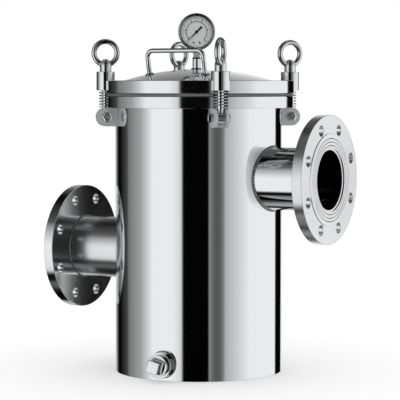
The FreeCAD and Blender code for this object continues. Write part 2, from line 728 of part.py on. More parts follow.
def clamp_sleeve():
    """Round sleeve with two flats, which rests on the lid and hangs over its edge outside."""
    sleeve = body("ClampSleeve")
    top = NUT_SEAT
    seat = f"{LID_ABOVE_PIN} + seat_gap"
    low = f"{LID_ABOVE_PIN} - sleeve_skirt"
    profile = sketch(sleeve, "XZ_Plane")
    bolt_hole = "bolt_diameter / 2 + seat_gap"
    spring_hole = "spring_diameter / 2 + seat_gap"
    outline(profile, ((bolt_hole, seat), (spring_hole, seat), (spring_hole, low),
                      ("sleeve_diameter / 2", low), ("sleeve_diameter / 2", f"{top} - rim_chamfer"),
                      ("sleeve_diameter / 2 - rim_chamfer", top), (bolt_hole, top)))
    revolve(sleeve, profile)
    flats = sketch(sleeve)
    rectangle(flats, "-sleeve_diameter", "sleeve_diameter", "sleeve_flats / 2", "sleeve_diameter")
    rectangle(flats, "-sleeve_diameter", "sleeve_diameter", "-sleeve_diameter", "-sleeve_flats / 2")
    pocket(sleeve, flats, both_ways=True)
    edge = sketch(sleeve, lift=seat)
    circle(edge, f"{LID_RADIUS} + seat_gap", f"-{BOLT_RADIUS}")
    pocket(sleeve, edge)
    return sleeve


def eye_nut():
    """Ring nut: a barrel neck with the thread, and a round ring above it."""
    neck = body("NutNeck")
    profile = sketch(neck, "XZ_Plane")
    outline(profile, (("0", NUT_SEAT), ("neck_diameter / 2", NUT_SEAT),
                      ("neck_diameter / 2", f"{NUT_SEAT} + neck_height * 0.6"),
                      ("neck_diameter / 2 - 2.2", f"{NUT_SEAT} + neck_height"),
                      ("0", f"{NUT_SEAT} + neck_height")))
    revolve(neck, profile)
    ring = solid("Torus", "NutRing", Radius1="ring_radius", Radius2="ring_section / 2")
    place(ring, z=f"{NUT_SEAT} + ring_rise", turn="90", turn_axis=Vector(1, 0, 0))
    blank = fuse("NutBlank", [neck, ring])
    bore = place(solid("Cylinder", "NutBore", Radius="bolt_diameter / 2 + thread_clearance",
                       Height="ring_rise"), z=NUT_SEAT)
    return cut("EyeNut", blank, bore)


def at_station(item, number, extra=None):
    """Place an item, made with the pin at the origin, at swing bolt 1 to 4."""
    angle = f"bolt_phase + {90 * (number - 1)}"
    turn = f"{angle} + {extra}" if extra else angle
    return place(item, x=f"{BOLT_RADIUS} * cos({angle})", y=f"{BOLT_RADIUS} * sin({angle})",
                 z=PIN_HEIGHT, turn=turn)


def make_stations():
    fork = bolt_bracket()
    pin = hinge_pin()
    washer = pin_washer()
    bolt = swing_bolt()
    spring = coil_spring()
    sleeve = clamp_sleeve()
    nut = eye_nut()
    pins = []
    washers = []
    for number in (1, 2, 3, 4):
        bracket = group(f"bracket_copy_{number}", [fork])
        keep(place(bracket, turn=f"bolt_phase + {90 * (number - 1)}"), f"bolt_bracket_{number}")
        for master, label in ((bolt, "swing_bolt"), (spring, "spring"), (sleeve, "clamp_sleeve")):
            copy = group(f"{label}_copy_{number}", [master])
            keep(at_station(copy, number), f"{label}_{number}")
        nut_copy = group(f"nut_copy_{number}", [nut])
        keep(at_station(nut_copy, number, f"ring_turn_{number}"), f"eye_nut_{number}")
        pins.append(at_station(group(f"pin_copy_{number}", [pin]), number))
        washers.append(at_station(group(f"washer_copy_{number}", [washer]), number))
    keep(group("HingePins", pins), "hinge_pins")
    keep(group("PinWashers", washers), "pin_washers")


# Seat ring and hair basket

def make_seat_ring():
    ring = body("SeatRing")
    flat = sketch(ring, lift="seat_height - seat_thickness")
    circle(flat, SHELL_INSIDE)
    circle(flat, SEAT_RADIUS)
    pad(ring, flat, "seat_thickness")
    keep(ring, "seat_ring")


def make_basket_wall():
    wall = body("BasketWall")
    low = "seat_height + seat_gap - basket_depth"
    flat = sketch(wall, lift=low)
    circle(flat, BASKET_RADIUS)
    circle(flat, BASKET_INSIDE)
    pad(wall, flat, "basket_depth")
    slots = sketch(wall, "YZ_Plane")
    for row in range(int(size("slot_rows"))):
        foot = f"{low} + (basket_depth - slot_pitch * slot_rows) / 2 + (slot_pitch - slot_length) / 2"
        foot = f"{foot} + slot_pitch * {row}"
        rectangle(slots, "-slot_width / 2", "slot_width / 2", foot, f"{foot} + slot_length")
    column = pocket(wall, slots, f"2 * {BASKET_RADIUS}", forward=True)
    axis = sketch(wall)
    circle(axis, f"{BASKET_RADIUS} / 2")
    around(wall, [column], axis, "slots_round")
    keep(wall, "basket_wall")


def make_basket():
    rim = body("BasketRim")
    flat = sketch(rim, lift="seat_height + seat_gap")
    circle(flat, BASKET_RIM)
    circle(flat, BASKET_INSIDE)
    pad(rim, flat, "basket_rim_thickness")
    keep(rim, "basket_rim")
    make_basket_wall()
    floor = body("BasketFloor")
    disc = sketch(floor, lift="seat_height + seat_gap - basket_depth")
    circle(disc, BASKET_INSIDE)
    pad(floor, disc, "basket_sheet")
    slot = sketch(floor)
    rectangle(slot, f"{BASKET_RADIUS} / 4", f"{BASKET_RADIUS} - 3 * slot_width", "-slot_width / 2",
              "slot_width / 2")
    cut_slot = pocket(floor, slot, both_ways=True)
    around(floor, [cut_slot], slot, "floor_slots")
    keep(floor, "basket_floor")


def bail_lug(name, side):
    """Ear on the basket rim, with a hole that the bail's end turns in."""
    ear = body(name)
    face = sketch(ear, "YZ_Plane", lift=f"{side} * {LUG_PLACE}")
    rectangle(face, "-lug_width / 2", "lug_width / 2", BASKET_TOP, f"{BAIL_HEIGHT}")
    pad(ear, face, "lug_thickness", both_ways=True)
    top = sketch(ear, "YZ_Plane", lift=f"{side} * {LUG_PLACE}")
    circle(top, "lug_width / 2", up=BAIL_HEIGHT)
    pad(ear, top, "lug_thickness", both_ways=True)
    bore = sketch(ear, "YZ_Plane")
    circle(bore, "bail_wire / 2 + pin_clearance", up=BAIL_HEIGHT)
    pocket(ear, bore, both_ways=True)
    return ear


def bail_rod(name, length, x, y, turn_axis):
    item = solid("Cylinder", name, Radius="bail_wire / 2", Height=length)
    return place(item, x=x, y=y, turn="90", turn_axis=turn_axis)


def make_bail():
    """Wire bail folded flat on the basket rim: two ends through the ears, two arms and a grip."""
    keep(group("BailLugs", [bail_lug("LeftLug", -1), bail_lug("RightLug", 1)]), "bail_lugs")
    arm = f"({LUG_PLACE} - lug_thickness - bail_wire)"
    parts = []
    for side in (-1, 1):
        end = solid("Cylinder", "BailEnd", Radius="bail_wire / 2", Height="2 * lug_thickness + bail_wire")
        start = arm if side > 0 else f"-{arm} - 2 * lug_thickness - bail_wire"
        parts.append(place(end, x=start, turn="90", turn_axis=Vector(0, 1, 0)))
        parts.append(place(solid("Sphere", "BailKnee", Radius="bail_wire / 2"), x=f"{side} * {arm}"))
        parts.append(bail_rod("BailArm", "bail_reach - bail_corner", f"{side} * {arm}", None,
                              Vector(1, 0, 0)))
        bend = solid("Torus", "BailBend", Radius1="bail_corner", Radius2="bail_wire / 2", Angle3="90")
        start_angle = -90 if side > 0 else 180
        bend.Placement = Placement(Vector(), Rotation(Vector(0, 0, 1), start_angle))
        parts.append(place(bend, x=f"{side} * ({arm} - bail_corner)", y="-bail_reach + bail_corner"))
    parts.append(bail_rod("BailGrip", f"2 * ({arm} - bail_corner)", f"-{arm} + bail_corner",
                          "-bail_reach", Vector(0, 1, 0)))
    keep(place(fuse("BasketBail", parts), z=BAIL_HEIGHT), "basket_bail")


# Pressure gauge, made round the middle of its dial: +Z up, dial facing -Y

def at_gauge(item):
    return place(item, y="-gauge_offset", z=GAUGE_HEIGHT, turn="gauge_facing")


def gauge_turned(name, label, corners):
    """Turned piece of the gauge, from (radius, depth) corners, round the dial's axis."""
    piece = body(name)
    profile = sketch(piece)
    outline(profile, corners)
    revolve(piece, profile)
    keep(at_gauge(piece), label)
    return piece


def make_gauge_socket():
    blank = at_gauge(group("SocketBlank", [socket_tube()]))
    keep(cut("GaugeSocket", blank, dome_ball("SocketBall", DOME_RADIUS)), "gauge_socket")
    seal = body("GaugeSeal")
    flat = sketch(seal, lift=f"-{SHANK_FOOT} - gauge_seal_thickness")
    circle(flat, "gauge_seal_diameter / 2")
    circle(flat, "gauge_thread / 2")
    pad(seal, flat, "gauge_seal_thickness")
    keep(at_gauge(seal), "gauge_seal")


def socket_tube():
    tube = body("SocketTube")
    drawing = sketch(tube, lift=f"-{SHANK_FOOT} - gauge_seal_thickness")
    circle(drawing, "gauge_socket_diameter / 2")
    circle(drawing, "gauge_thread / 2")
    pad(tube, drawing, "gauge_socket_height + dome_rise / 4", backward=True)
    return tube


def make_gauge_stem():
    """Thread, square shank and the block in the case that carries tube, movement and dial."""
    stem = body("GaugeStem")
    thread = sketch(stem, lift=f"-{SHANK_FOOT} - gauge_thread_length")
    circle(thread, "gauge_thread / 2")
    pad(stem, thread, "gauge_thread_length")
    shank = sketch(stem, lift=f"-{SHANK_FOOT}")
    rectangle(shank, "-shank_size / 2", "shank_size / 2", "-shank_size / 2", "shank_size / 2")
    pad(stem, shank, "shank_height")
    block = sketch(stem, lift="-case_radius")
    rectangle(block, "-shank_size / 2", "shank_size / 2", "-dial_front + dial_thickness",
              "shank_size / 2")
    pad(stem, block, "3 * case_wall")
    carrier = sketch(stem, lift="-case_radius + 2 * case_wall")
    rectangle(carrier, "-shank_size / 2", "shank_size / 2", "-dial_front + dial_thickness",
              "case_back / 2 + tube_width / 2 + case_wall")
    pad(stem, carrier, "case_radius / 2 - 2 * case_wall")
    bores = sketch(stem, "XZ_Plane")
    for side in (-1, 1):
        circle(bores, "dial_screw_head / 4", f"{side} * dial_screw_spread", "-dial_screw_drop")
    pocket(stem, bores, "dial_front", forward=True)
    keep(at_gauge(stem), "gauge_stem")


def make_gauge_case():
    case = body("GaugeCase")
    profile = sketch(case)
    inside = "case_radius - case_wall"
    outline(profile, (("0", "case_back"), ("case_radius - case_edge", "case_back"),
                      ("case_radius", "case_back - case_edge"), ("case_radius", "-case_front"),
                      (inside, "-case_front"), (inside, "case_back - case_edge"),
                      (f"{inside} - case_edge + case_wall", "case_back - case_wall"),
                      ("0", "case_back - case_wall")))
    revolve(case, profile)
    hole = sketch(case)
    rectangle(hole, "-shank_size / 2", "shank_size / 2", "-shank_size / 2", "shank_size / 2")
    pocket(case, hole, "2 * case_radius")
    keep(at_gauge(case), "gauge_case")


def make_gauge_front():
    grip = "case_radius + bezel_sheet"
    rim = "(case_front + glass_thickness)"
    gauge_turned("GaugeBezel", "gauge_bezel", (
        ("case_radius", "-case_front + bezel_grip"), (grip, "-case_front + bezel_grip"),
        (grip, f"-{rim} - bezel_depth + 1.5"), (f"{grip} - 1.5", f"-{rim} - bezel_depth"),
        ("window_radius", f"-{rim} - 0.9"), ("window_radius", "-case_front - glass_thickness"),
        ("case_radius", "-case_front - glass_thickness")))
    gauge_turned("GaugeGlass", "gauge_glass", (
        ("0", "-case_front"), ("0", "-case_front - glass_thickness"),
        ("case_radius", "-case_front - glass_thickness"), ("case_radius", "-case_front")))
    dial = body("GaugeDial")
    disc = sketch(dial, "XZ_Plane", lift="dial_front - dial_thickness")
    circle(disc, "dial_radius")
    circle(disc, "arbor_diameter")
    for side in (-1, 1):
        circle(disc, "dial_screw_head / 4", f"{side} * dial_screw_spread", "-dial_screw_drop")
    pad(dial, disc, "dial_thickness")
    keep(at_gauge(dial), "gauge_dial")
    screws = body("DialScrew")
    head = sketch(screws, "XZ_Plane", lift="dial_front")
    circle(head, "dial_screw_head / 2")
    pad(screws, head, "dial_thickness")
    shank = sketch(screws, "XZ_Plane")
    circle(shank, "dial_screw_head / 4")
    pad(screws, shank, "dial_front")
    pair = []
    for side in (-1, 1):
        pair.append(place(group("ScrewCopy", [screws]), x=f"{side} * dial_screw_spread",
                          z="-dial_screw_drop"))
    keep(at_gauge(group("DialScrews", pair)), "dial_screws")


def make_pointer():
    """Pointer with a tapered tail, drawn level and then turned to its rest at zero."""
    pointer = body("GaugePointer")
    front = "dial_front + 2 * dial_thickness"
    needle = sketch(pointer, "XZ_Plane", lift=front)
    outline(needle, (("-pointer_length", "0"), ("0", "-pointer_width / 4"),
                     ("pointer_tail", "-pointer_width / 2"), ("pointer_tail", "pointer_width / 2"),
                     ("0", "pointer_width / 4")))
    pad(pointer, needle, "pointer_thickness")
    hub = sketch(pointer, "XZ_Plane", lift=front)
    circle(hub, "pointer_hub / 2")
    pad(pointer, hub, "2 * pointer_thickness")
    bore = sketch(pointer, "XZ_Plane")
    circle(bore, "arbor_diameter / 2")
    pocket(pointer, bore, both_ways=True)
    turned = place(group("PointerTurned", [pointer]), turn="-pointer_zero", turn_axis=Vector(0, 1, 0))
    keep(at_gauge(group("PointerOnGauge", [turned])), "gauge_pointer")


def movement_shaft(name, gear_radius, front):
    """Arbor along Y that ends in the movement plate, with a gear blank on it."""
    shaft = body(name)
    arbor = sketch(shaft, "XZ_Plane", lift="-gear_width / 2 - 2 * plate_thickness")
    circle(arbor, "arbor_diameter / 2")
    pad(shaft, arbor, f"gear_width / 2 + 2 * plate_thickness + {front}")
    gear = sketch(shaft, "XZ_Plane", lift="-gear_width / 2")
    circle(gear, gear_radius)
    pad(shaft, gear, "gear_width")
    return shaft


def make_movement():
    """Pinion on the pointer's shaft, gear sector beside it, their plate and the bourdon tube."""
    pinion = movement_shaft("PinionShaft", "pinion_radius",
                            "dial_front + 2 * dial_thickness + 2 * pointer_thickness")
    keep(at_gauge(pinion), "pinion_shaft")
    pivot = "(pinion_radius + sector_radius + gear_gap)"
    sector = movement_shaft("GearSector", "arbor_diameter", "gear_width / 2")
    blade = sketch(sector, "XZ_Plane", lift="-gear_width / 2")
    corners = [("arbor_diameter", "-arbor_diameter / 2"), ("arbor_diameter", "arbor_diameter / 2")]
    for share in (1, 0.75, 0.5, 0.25, 0):
        angle = f"({share} * sector_span - sector_margin)"
        corners.append((f"-sector_radius * cos({angle})", f"sector_radius * sin({angle})"))
    outline(blade, corners)
    pad(sector, blade, "gear_width")
    keep(at_gauge(group("SectorOnPivot", [place(group("SectorCopy", [sector]), x=pivot)])), "gear_sector")
    plate = body("MovementPlate")
    face = sketch(plate, "XZ_Plane", lift="-gear_width / 2 - 2 * plate_thickness")
    rectangle(face, "-shank_size / 2", f"{pivot} + arbor_diameter", "-case_radius / 2",
              "3 * arbor_diameter")
    pad(plate, face, "plate_thickness")
    holes = sketch(plate, "XZ_Plane")
    circle(holes, "arbor_diameter / 2 + pin_clearance")
    circle(holes, "arbor_diameter / 2 + pin_clearance", across=pivot)
    pocket(plate, holes, both_ways=True)
    keep(at_gauge(plate), "movement_plate")


def make_bourdon_tube():
    """Flattened tube, bent to a ring that starts in the stem's block and ends over the gear sector."""
    tube = body("TubeBlank")
    section = sketch(tube)
    rectangle(section, "tube_radius - tube_depth / 2", "tube_radius + tube_depth / 2",
              "case_back / 2 - tube_width / 2", "case_back / 2 + tube_width / 2")
    bind(revolve(tube, section), "Angle", "tube_sweep")
    place(tube, turn="90", turn_axis=Vector(0, 1, 0))
    blank = at_gauge(group("TubeOnGauge", [tube]))
    carrier = body("TubeCarrier")
    block = sketch(carrier, lift="-case_radius")
    rectangle(block, "-shank_size / 2", "shank_size / 2", "-shank_size / 2", "case_back")
    pad(carrier, block, "case_radius / 2")
    keep(cut("BourdonTube", blank, at_gauge(carrier)), "bourdon_tube")


def make_gauge():
    make_gauge_socket()
    make_gauge_stem()
    make_gauge_case()
    make_gauge_front()
    make_pointer()
    make_movement()
    make_bourdon_tube()


make_shell()
make_bottom_plate()
make_closure_rings()
make_dome()
make_handle()
make_nozzles()
make_drain()
make_stations()
make_seat_ring()
make_basket()
make_bail()
make_gauge()
doc.recompute()

# Every object has to be sound before anything is written
for item in doc.Objects:
    if "Invalid" in item.State or "Error" in item.State:
        raise RuntimeError(f"{item.Label} failed: {item.State}")
for piece in PIECES:
    if piece.Shape.isNull() or not piece.Shape.isValid() or not piece.Shape.Solids:
        raise RuntimeError(f"{piece.Label} has no valid shape")

os.makedirs("parts", exist_ok=True)
for piece in PIECES:
    piece.Shape.exportStep(os.path.join("parts", piece.Label + ".step"))
    print(f"{piece.Label}: {len(piece.Shape.Solids)} solid(s), {piece.Shape.Volume / 1000:.1f} cm3")
print(f"{len(PIECES)} pieces written")
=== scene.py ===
import math

import bmesh
import bpy
from mathutils import Matrix, Vector


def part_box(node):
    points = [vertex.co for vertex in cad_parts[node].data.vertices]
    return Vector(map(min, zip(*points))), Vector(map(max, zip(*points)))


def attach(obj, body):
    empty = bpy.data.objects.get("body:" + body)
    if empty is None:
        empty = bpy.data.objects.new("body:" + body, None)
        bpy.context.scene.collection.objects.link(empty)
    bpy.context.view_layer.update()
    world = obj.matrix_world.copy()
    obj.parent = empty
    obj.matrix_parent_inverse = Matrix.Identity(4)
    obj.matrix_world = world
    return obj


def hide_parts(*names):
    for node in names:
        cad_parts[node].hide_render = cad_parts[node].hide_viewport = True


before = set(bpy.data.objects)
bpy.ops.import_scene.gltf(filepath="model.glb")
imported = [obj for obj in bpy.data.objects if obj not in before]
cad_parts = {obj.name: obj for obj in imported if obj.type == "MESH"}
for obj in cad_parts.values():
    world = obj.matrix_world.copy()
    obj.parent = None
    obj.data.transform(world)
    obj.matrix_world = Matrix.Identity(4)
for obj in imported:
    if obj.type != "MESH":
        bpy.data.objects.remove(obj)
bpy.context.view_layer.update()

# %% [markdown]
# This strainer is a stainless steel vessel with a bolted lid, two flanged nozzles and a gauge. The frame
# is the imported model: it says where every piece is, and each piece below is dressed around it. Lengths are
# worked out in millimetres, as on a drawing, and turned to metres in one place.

MM = 0.001


def span(node):
    """Lowest and highest corner of a node, in millimetres."""
    low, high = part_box(node)
    return Vector(low) / MM, Vector(high) / MM


def middle_height(node):
    low, high = span(node)
    return (low.z + high.z) / 2


SHELL_RADIUS = span("shell")[1].x
SHELL_INSIDE = span("bottom_plate")[1].x
FLANGE_LOW, FLANGE_HIGH = span("vessel_flange")
LID_LOW, LID_HIGH = span("lid_rim")
FLANGE_RADIUS = SHELL_RADIUS + 20.5
LID_RADIUS = SHELL_RADIUS + 22.0
NOZZLE_REACH = span("inlet_flange")[1].x
INLET_HEIGHT = middle_height("inlet_flange")
OUTLET_HEIGHT = middle_height("outlet_flange")
print("shell radius", round(SHELL_RADIUS, 2), "lid top", round(LID_HIGH.z, 1), "mm")
print("inlet at", round(INLET_HEIGHT, 1), "outlet at", round(OUTLET_HEIGHT, 1), "mm")

# %% [markdown]
# Small helpers come first. Colours are written as sRGB hex values, the way a paint chart gives them, and
# one function turns them to the linear values that Blender computes with. One function adds a shader node
# with its settings and links, so that each material below reads as a short list.

# %% Colour and shader helpers


def colour(code):
    """Turn an sRGB hex value such as "E6E7E8" to linear red, green, blue and alpha."""
    channels = [int(code[i:i + 2], 16) / 255 for i in (0, 2, 4)]
    linear = [c / 12.92 if c <= 0.04045 else ((c + 0.055) / 1.055) ** 2.4 for c in channels]
    return (*linear, 1.0)


def add(tree, kind, settings=None, **inputs):
    """Add a node, set its properties, and give each input a value or a socket to link from.

    An input goes by its name with _ for a space, or by its number, such as i0 for the first.
    """
    node = tree.nodes.new(kind)
    for name, value in (settings or {}).items():
        setattr(node, name, value)
    for name, value in inputs.items():
        key = int(name[1:]) if name[0] == "i" and name[1:].isdigit() else name.replace("_", " ")
        if isinstance(value, bpy.types.NodeSocket):
            tree.links.new(value, node.inputs[key])
        else:
            node.inputs[key].default_value = value
    return node


def new_material(name):
    """Start a material with an empty node tree, and return it with its tree and shader."""
    material = bpy.data.materials.new(name)
    material.use_nodes = True
    tree = material.node_tree
    tree.nodes.clear()
    shader = add(tree, "ShaderNodeBsdfPrincipled")
    output = add(tree, "ShaderNodeOutputMaterial")
    tree.links.new(shader.outputs[0], output.inputs[0])
    return material, tree, shader


def set_inputs(shader, **inputs):
    """Set uniform values directly on the shader's own sockets."""
    for name, value in inputs.items():
        shader.inputs[name.replace("_", " ")].default_value = value


print("white paint chart value turns to", [round(value, 3) for value in colour("F4F4F4")])

# %% [markdown]
# Every finish below but the glass has a pattern that is a little rough and a little raised: hairlines,
# tool rings or an even grain. An image texture could draw it, but a noise has no seams and stays sharp
# close up. Its scale is worked out from the spacing of the pattern in millimetres.

# %% Relief from a pattern
ROUGHEST, SMOOTHEST = "To_Max", "To_Min"


def per_metre(spacing):
    """Changes per metre of a pattern with this spacing in millimetres, to the nearest ten."""
    return round(1 / (spacing * MM), -1)


def relief(tree, shader, pattern, roughness, strength, depth):
    """Let a pattern vary the shader's roughness between two values, and raise its surface."""
    rough = add(tree, "ShaderNodeMapRange", Value=pattern.outputs[0],
                **{SMOOTHEST: roughness[0], ROUGHEST: roughness[1]})
    tree.links.new(rough.outputs[0], shader.inputs["Roughness"])
    bump = add(tree, "ShaderNodeBump", Height=pattern.outputs[0], Strength=strength, Distance=depth)
    tree.links.new(bump.outputs[0], shader.inputs["Normal"])


print("a spacing of 2 mm is", per_metre(2.0), "changes per metre")

# %% [markdown]
# The vessel is austenitic stainless steel sheet, rolled and buffed to a mirror. Buffing leaves hairlines
# that run round the vessel, far too fine to show one by one, so they are drawn coarser here, about a
# millimetre apart and 150 times as long. They break the reflections a little and keep the steel from
# looking like glass. Bars and castings are buffed less, and the outlet pipe was only brushed along.

# %% Mirror polished stainless steel
HAIRLINE_SPACING = 1.11
HAIRLINE_STRETCH = 150


def hairlines(tree, axis):
    """Noise stretched into lines: many changes along the axis and few across it."""
    close = per_metre(HAIRLINE_SPACING)
    scale = [close if name == axis else close / HAIRLINE_STRETCH for name in "XYZ"]
    place = add(tree, "ShaderNodeTexCoord")
    stretched = add(tree, "ShaderNodeMapping", Vector=place.outputs["Object"], Scale=scale)
    return add(tree, "ShaderNodeTexNoise", Vector=stretched.outputs[0], Scale=1.0, Detail=3.0)


def polished_steel(name, code, strength, roughness, axis="Z"):
    material, tree, shader = new_material(name)
    set_inputs(shader, Base_Color=colour(code), Metallic=1.0)
    relief(tree, shader, hairlines(tree, axis), roughness, strength, 0.0003)
    return material


MIRROR = polished_steel("mirror_stainless", "E9EAEB", 0.02, (0.035, 0.075))
MIRROR_BAR = polished_steel("polished_bar", "E2E3E4", 0.02, (0.05, 0.1))
CAST_POLISHED = polished_steel("polished_casting", "D8D9DA", 0.05, (0.09, 0.2))
SATIN_PIPE = polished_steel("satin_pipe", "E4E5E6", 0.03, (0.2, 0.28), "X")
print("mirror finishes:", MIRROR.name, MIRROR_BAR.name, CAST_POLISHED.name, SATIN_PIPE.name)

# %% [markdown]
# Flanges, lid ring and pins are turned on a lathe. The tool leaves rings a few tenths of a millimetre
# apart round the piece's own axis, which is the local Z axis of each turned piece here. They are drawn
# about a millimetre apart, so that they show. Distance from that axis and height along it drive a fine
# noise, so the rings follow the piece wherever it is placed.

# %% Turned stainless steel


def ring_noise(tree, spacing):
    """Noise that depends on the distance from the local Z axis and the height along it."""
    place = add(tree, "ShaderNodeTexCoord")
    parts = add(tree, "ShaderNodeSeparateXYZ", Vector=place.outputs["Object"])
    flat = add(tree, "ShaderNodeCombineXYZ", X=parts.outputs[0], Y=parts.outputs[1])
    radius = add(tree, "ShaderNodeVectorMath", {"operation": "LENGTH"}, i0=flat.outputs[0])
    line = add(tree, "ShaderNodeCombineXYZ", X=radius.outputs["Value"], Y=parts.outputs[2])
    return add(tree, "ShaderNodeTexNoise", Vector=line.outputs[0], Scale=per_metre(spacing), Detail=4.0)


def turned_steel(name, code, spacing, roughness, strength):
    """The rings stretch each highlight across them, so the tangent runs round the local Z axis."""
    material, tree, shader = new_material(name)
    set_inputs(shader, Base_Color=colour(code), Metallic=1.0, Anisotropic=0.7, Anisotropic_Rotation=0.25)
    tangent = add(tree, "ShaderNodeTangent", {"direction_type": "RADIAL", "axis": "Z"})
    tree.links.new(tangent.outputs[0], shader.inputs["Tangent"])
    relief(tree, shader, ring_noise(tree, spacing), roughness, strength, 0.0004)
    return material


TURNED = turned_steel("turned_stainless", "E6E7E8", 1.11, (0.16, 0.34), 0.1)
TURNED_FINE = turned_steel("fine_turned_stainless", "E7E8E9", 0.714, (0.06, 0.14), 0.05)
print("turned finishes:", TURNED.name, TURNED_FINE.name)

# %% [markdown]
# Weld beads are laid by hand with a tungsten arc and then buffed. The ripples are real geometry further
# down. The metal is darker in the valleys that the buff doesn't reach, in patches of about 6 mm, with a
# faint warm tint from the heat, and it is rougher than the sheet beside it.

# %% Buffed weld


def weld_steel():
    material, tree, shader = new_material("buffed_weld_bead")
    place = add(tree, "ShaderNodeTexCoord")
    noise = add(tree, "ShaderNodeTexNoise", Vector=place.outputs["Object"], Scale=per_metre(6.25),
                Detail=4.0)
    tint = add(tree, "ShaderNodeValToRGB", Fac=noise.outputs[0])
    tint.color_ramp.elements[0].color = colour("5E5E5C")
    tint.color_ramp.elements[1].color = colour("BEBEBC")
    tree.links.new(tint.outputs[0], shader.inputs["Base Color"])
    relief(tree, shader, noise, (0.14, 0.34), 0.12, 0.0004)
    set_inputs(shader, Metallic=1.0)
    return material


WELD = weld_steel()
print("weld finish:", WELD.name)

# %% [markdown]
# Four metals have an even grain. Spring wire is drawn through a die and stays bright. The basket is
# cold-rolled stainless sheet with a satin face. The forks and the gauge's shank are cut from plate and
# blasted with glass beads, and the matt grey skin that this leaves scatters light, so it is drawn only
# partly metallic. The gauge's movement is turned brass. Real grain is a tenth of a millimetre or less: it
# is drawn one to two millimetres wide, so that it shows.

# %% Wire, sheet, plate and brass
GRAIN_DEPTH = 0.0002
GRAIN_ROUGHNESS = 0.06


def plain_finish(name, code, metallic, roughness, spacing, strength, **more):
    """A finish with a fine even grain that varies its roughness and its surface."""
    material, tree, shader = new_material(name)
    set_inputs(shader, Base_Color=colour(code), Metallic=metallic, **more)
    place = add(tree, "ShaderNodeTexCoord")
    noise = add(tree, "ShaderNodeTexNoise", Vector=place.outputs["Object"], Scale=per_metre(spacing),
                Detail=3.0)
    relief(tree, shader, noise, (roughness - GRAIN_ROUGHNESS, roughness + GRAIN_ROUGHNESS), strength,
           GRAIN_DEPTH)
    return material


SPRING_WIRE = plain_finish("drawn_spring_wire", "C9CACB", 1.0, 0.16, 1.43, 0.05)
BASKET_SHEET = plain_finish("satin_basket_sheet", "CFD0D1", 1.0, 0.27, 1.11, 0.08)
SATIN_PLATE = plain_finish("satin_cut_plate", "EDEEEF", 0.65, 0.55, 2.0, 0.12)
BRASS = plain_finish("turned_brass", "C9A24E", 1.0, 0.24, 1.25, 0.06)
print("plain metals:", SPRING_WIRE.name, BASKET_SHEET.name, SATIN_PLATE.name, BRASS.name)

# %% [markdown]
# The rubber is EPDM, pressed in a mould that leaves a dull skin: black in the small washers and grey in the
# lid's gasket. The dial is sheet metal with a sprayed white enamel, and its print and pointer have a black
# one. Enamel flows out smooth before it sets, so its grain is fainter than the rubber's. Both grains are
# far under a tenth of a millimetre and are drawn about ten times as wide. None of these is a metal, so
# each has its own IOR.

# %% Rubber and enamel
EPDM_IOR = 1.52
ENAMEL_IOR = 1.5
RUBBER = plain_finish("black_epdm_rubber", "17171A", 0.0, 0.55, 0.667, 0.15, IOR=EPDM_IOR)
PALE_RUBBER = plain_finish("grey_epdm_rubber", "7E7E80", 0.0, 0.42, 0.667, 0.12, IOR=EPDM_IOR)
DIAL_ENAMEL = plain_finish("white_dial_enamel", "EEF0EF", 0.0, 0.42, 1.11, 0.02, IOR=ENAMEL_IOR)
BLACK_ENAMEL = plain_finish("black_pointer_enamel", "141414", 0.0, 0.38, 1.11, 0.02, IOR=ENAMEL_IOR)
print("rubber and enamel:", RUBBER.name, PALE_RUBBER.name, DIAL_ENAMEL.name, BLACK_ENAMEL.name)

# %% [markdown]
# The gauge's window is flat soda-lime glass. Full transmission bends and darkens what is behind it more
# than a thin pane does, so most of it is simply clear, and a twentieth is left to give it its gloss.

# %% Window glass


def window_glass():
    material, _, shader = new_material("clear_gauge_glass")
    set_inputs(shader, Base_Color=colour("F4F8F8"), Roughness=0.02, IOR=1.5, Transmission_Weight=1.0,
               Alpha=0.05)
    return material


GLASS = window_glass()
print("materials so far:", len(bpy.data.materials))

# %% [markdown]
# Most pieces are turned on a lathe, so most meshes are an outline spun round an axis. Real edges are
# never knife sharp: a small radius on every corner catches a line of light, and that line is what tells
# the eye that a piece is metal. So the outline's corners are rounded before it is spun.

# %% Outlines that are spun
TINY = 1e-6
BLUNT = 2.4


def soften(corners, edge):
    """Round each corner of a closed outline. A corner may carry its own radius as a third value."""
    count = len(corners)
    softened = []
    for index, corner in enumerate(corners):
        here = Vector(corner[:2])
        radius = corner[2] if len(corner) > 2 else edge
        before = Vector(corners[index - 1][:2]) - here
        after = Vector(corners[(index + 1) % count][:2]) - here
        if radius <= 0 or here.x < TINY or before.length < TINY or after.length < TINY:
            softened.append(here)
            continue
        turn = before.angle(after)
        reach = min(radius / math.tan(turn / 2), before.length * 0.45, after.length * 0.45)
        start = here + before.normalized() * reach
        end = here + after.normalized() * reach
        steps = 4 if turn < BLUNT else 2
        for step in range(steps + 1):
            share = step / steps
            softened.append(start * (1 - share) ** 2 + here * 2 * share * (1 - share) + end * share ** 2)
    return softened


def round_step(step, steps):
    """Angle of one step out of a full turn."""
    return 2 * math.pi * step / steps


def spin(outline, steps):
    """Spin a closed outline of (radius, height) points round Z, as a mesh."""
    mesh = bmesh.new()
    rings = []
    for radius, height in outline:
        if radius < TINY:
            rings.append([mesh.verts.new((0, 0, height))] * steps)
            continue
        turns = [round_step(step, steps) for step in range(steps)]
        rings.append([mesh.verts.new((radius * math.cos(turn), radius * math.sin(turn), height))
                      for turn in turns])
    for one, two in zip(rings, rings[1:] + rings[:1]):
        for step in range(steps):
            after = (step + 1) % steps
            # A point on the axis stands for its whole ring, so a face there has three corners or none
            face = list(dict.fromkeys((one[step], one[after], two[after], two[step])))
            if len(face) > 2:
                mesh.faces.new(face)
    bmesh.ops.recalc_face_normals(mesh, faces=mesh.faces)
    return mesh


def lathe(corners, edge=0.4, steps=160):
    return spin(soften(corners, edge), steps)


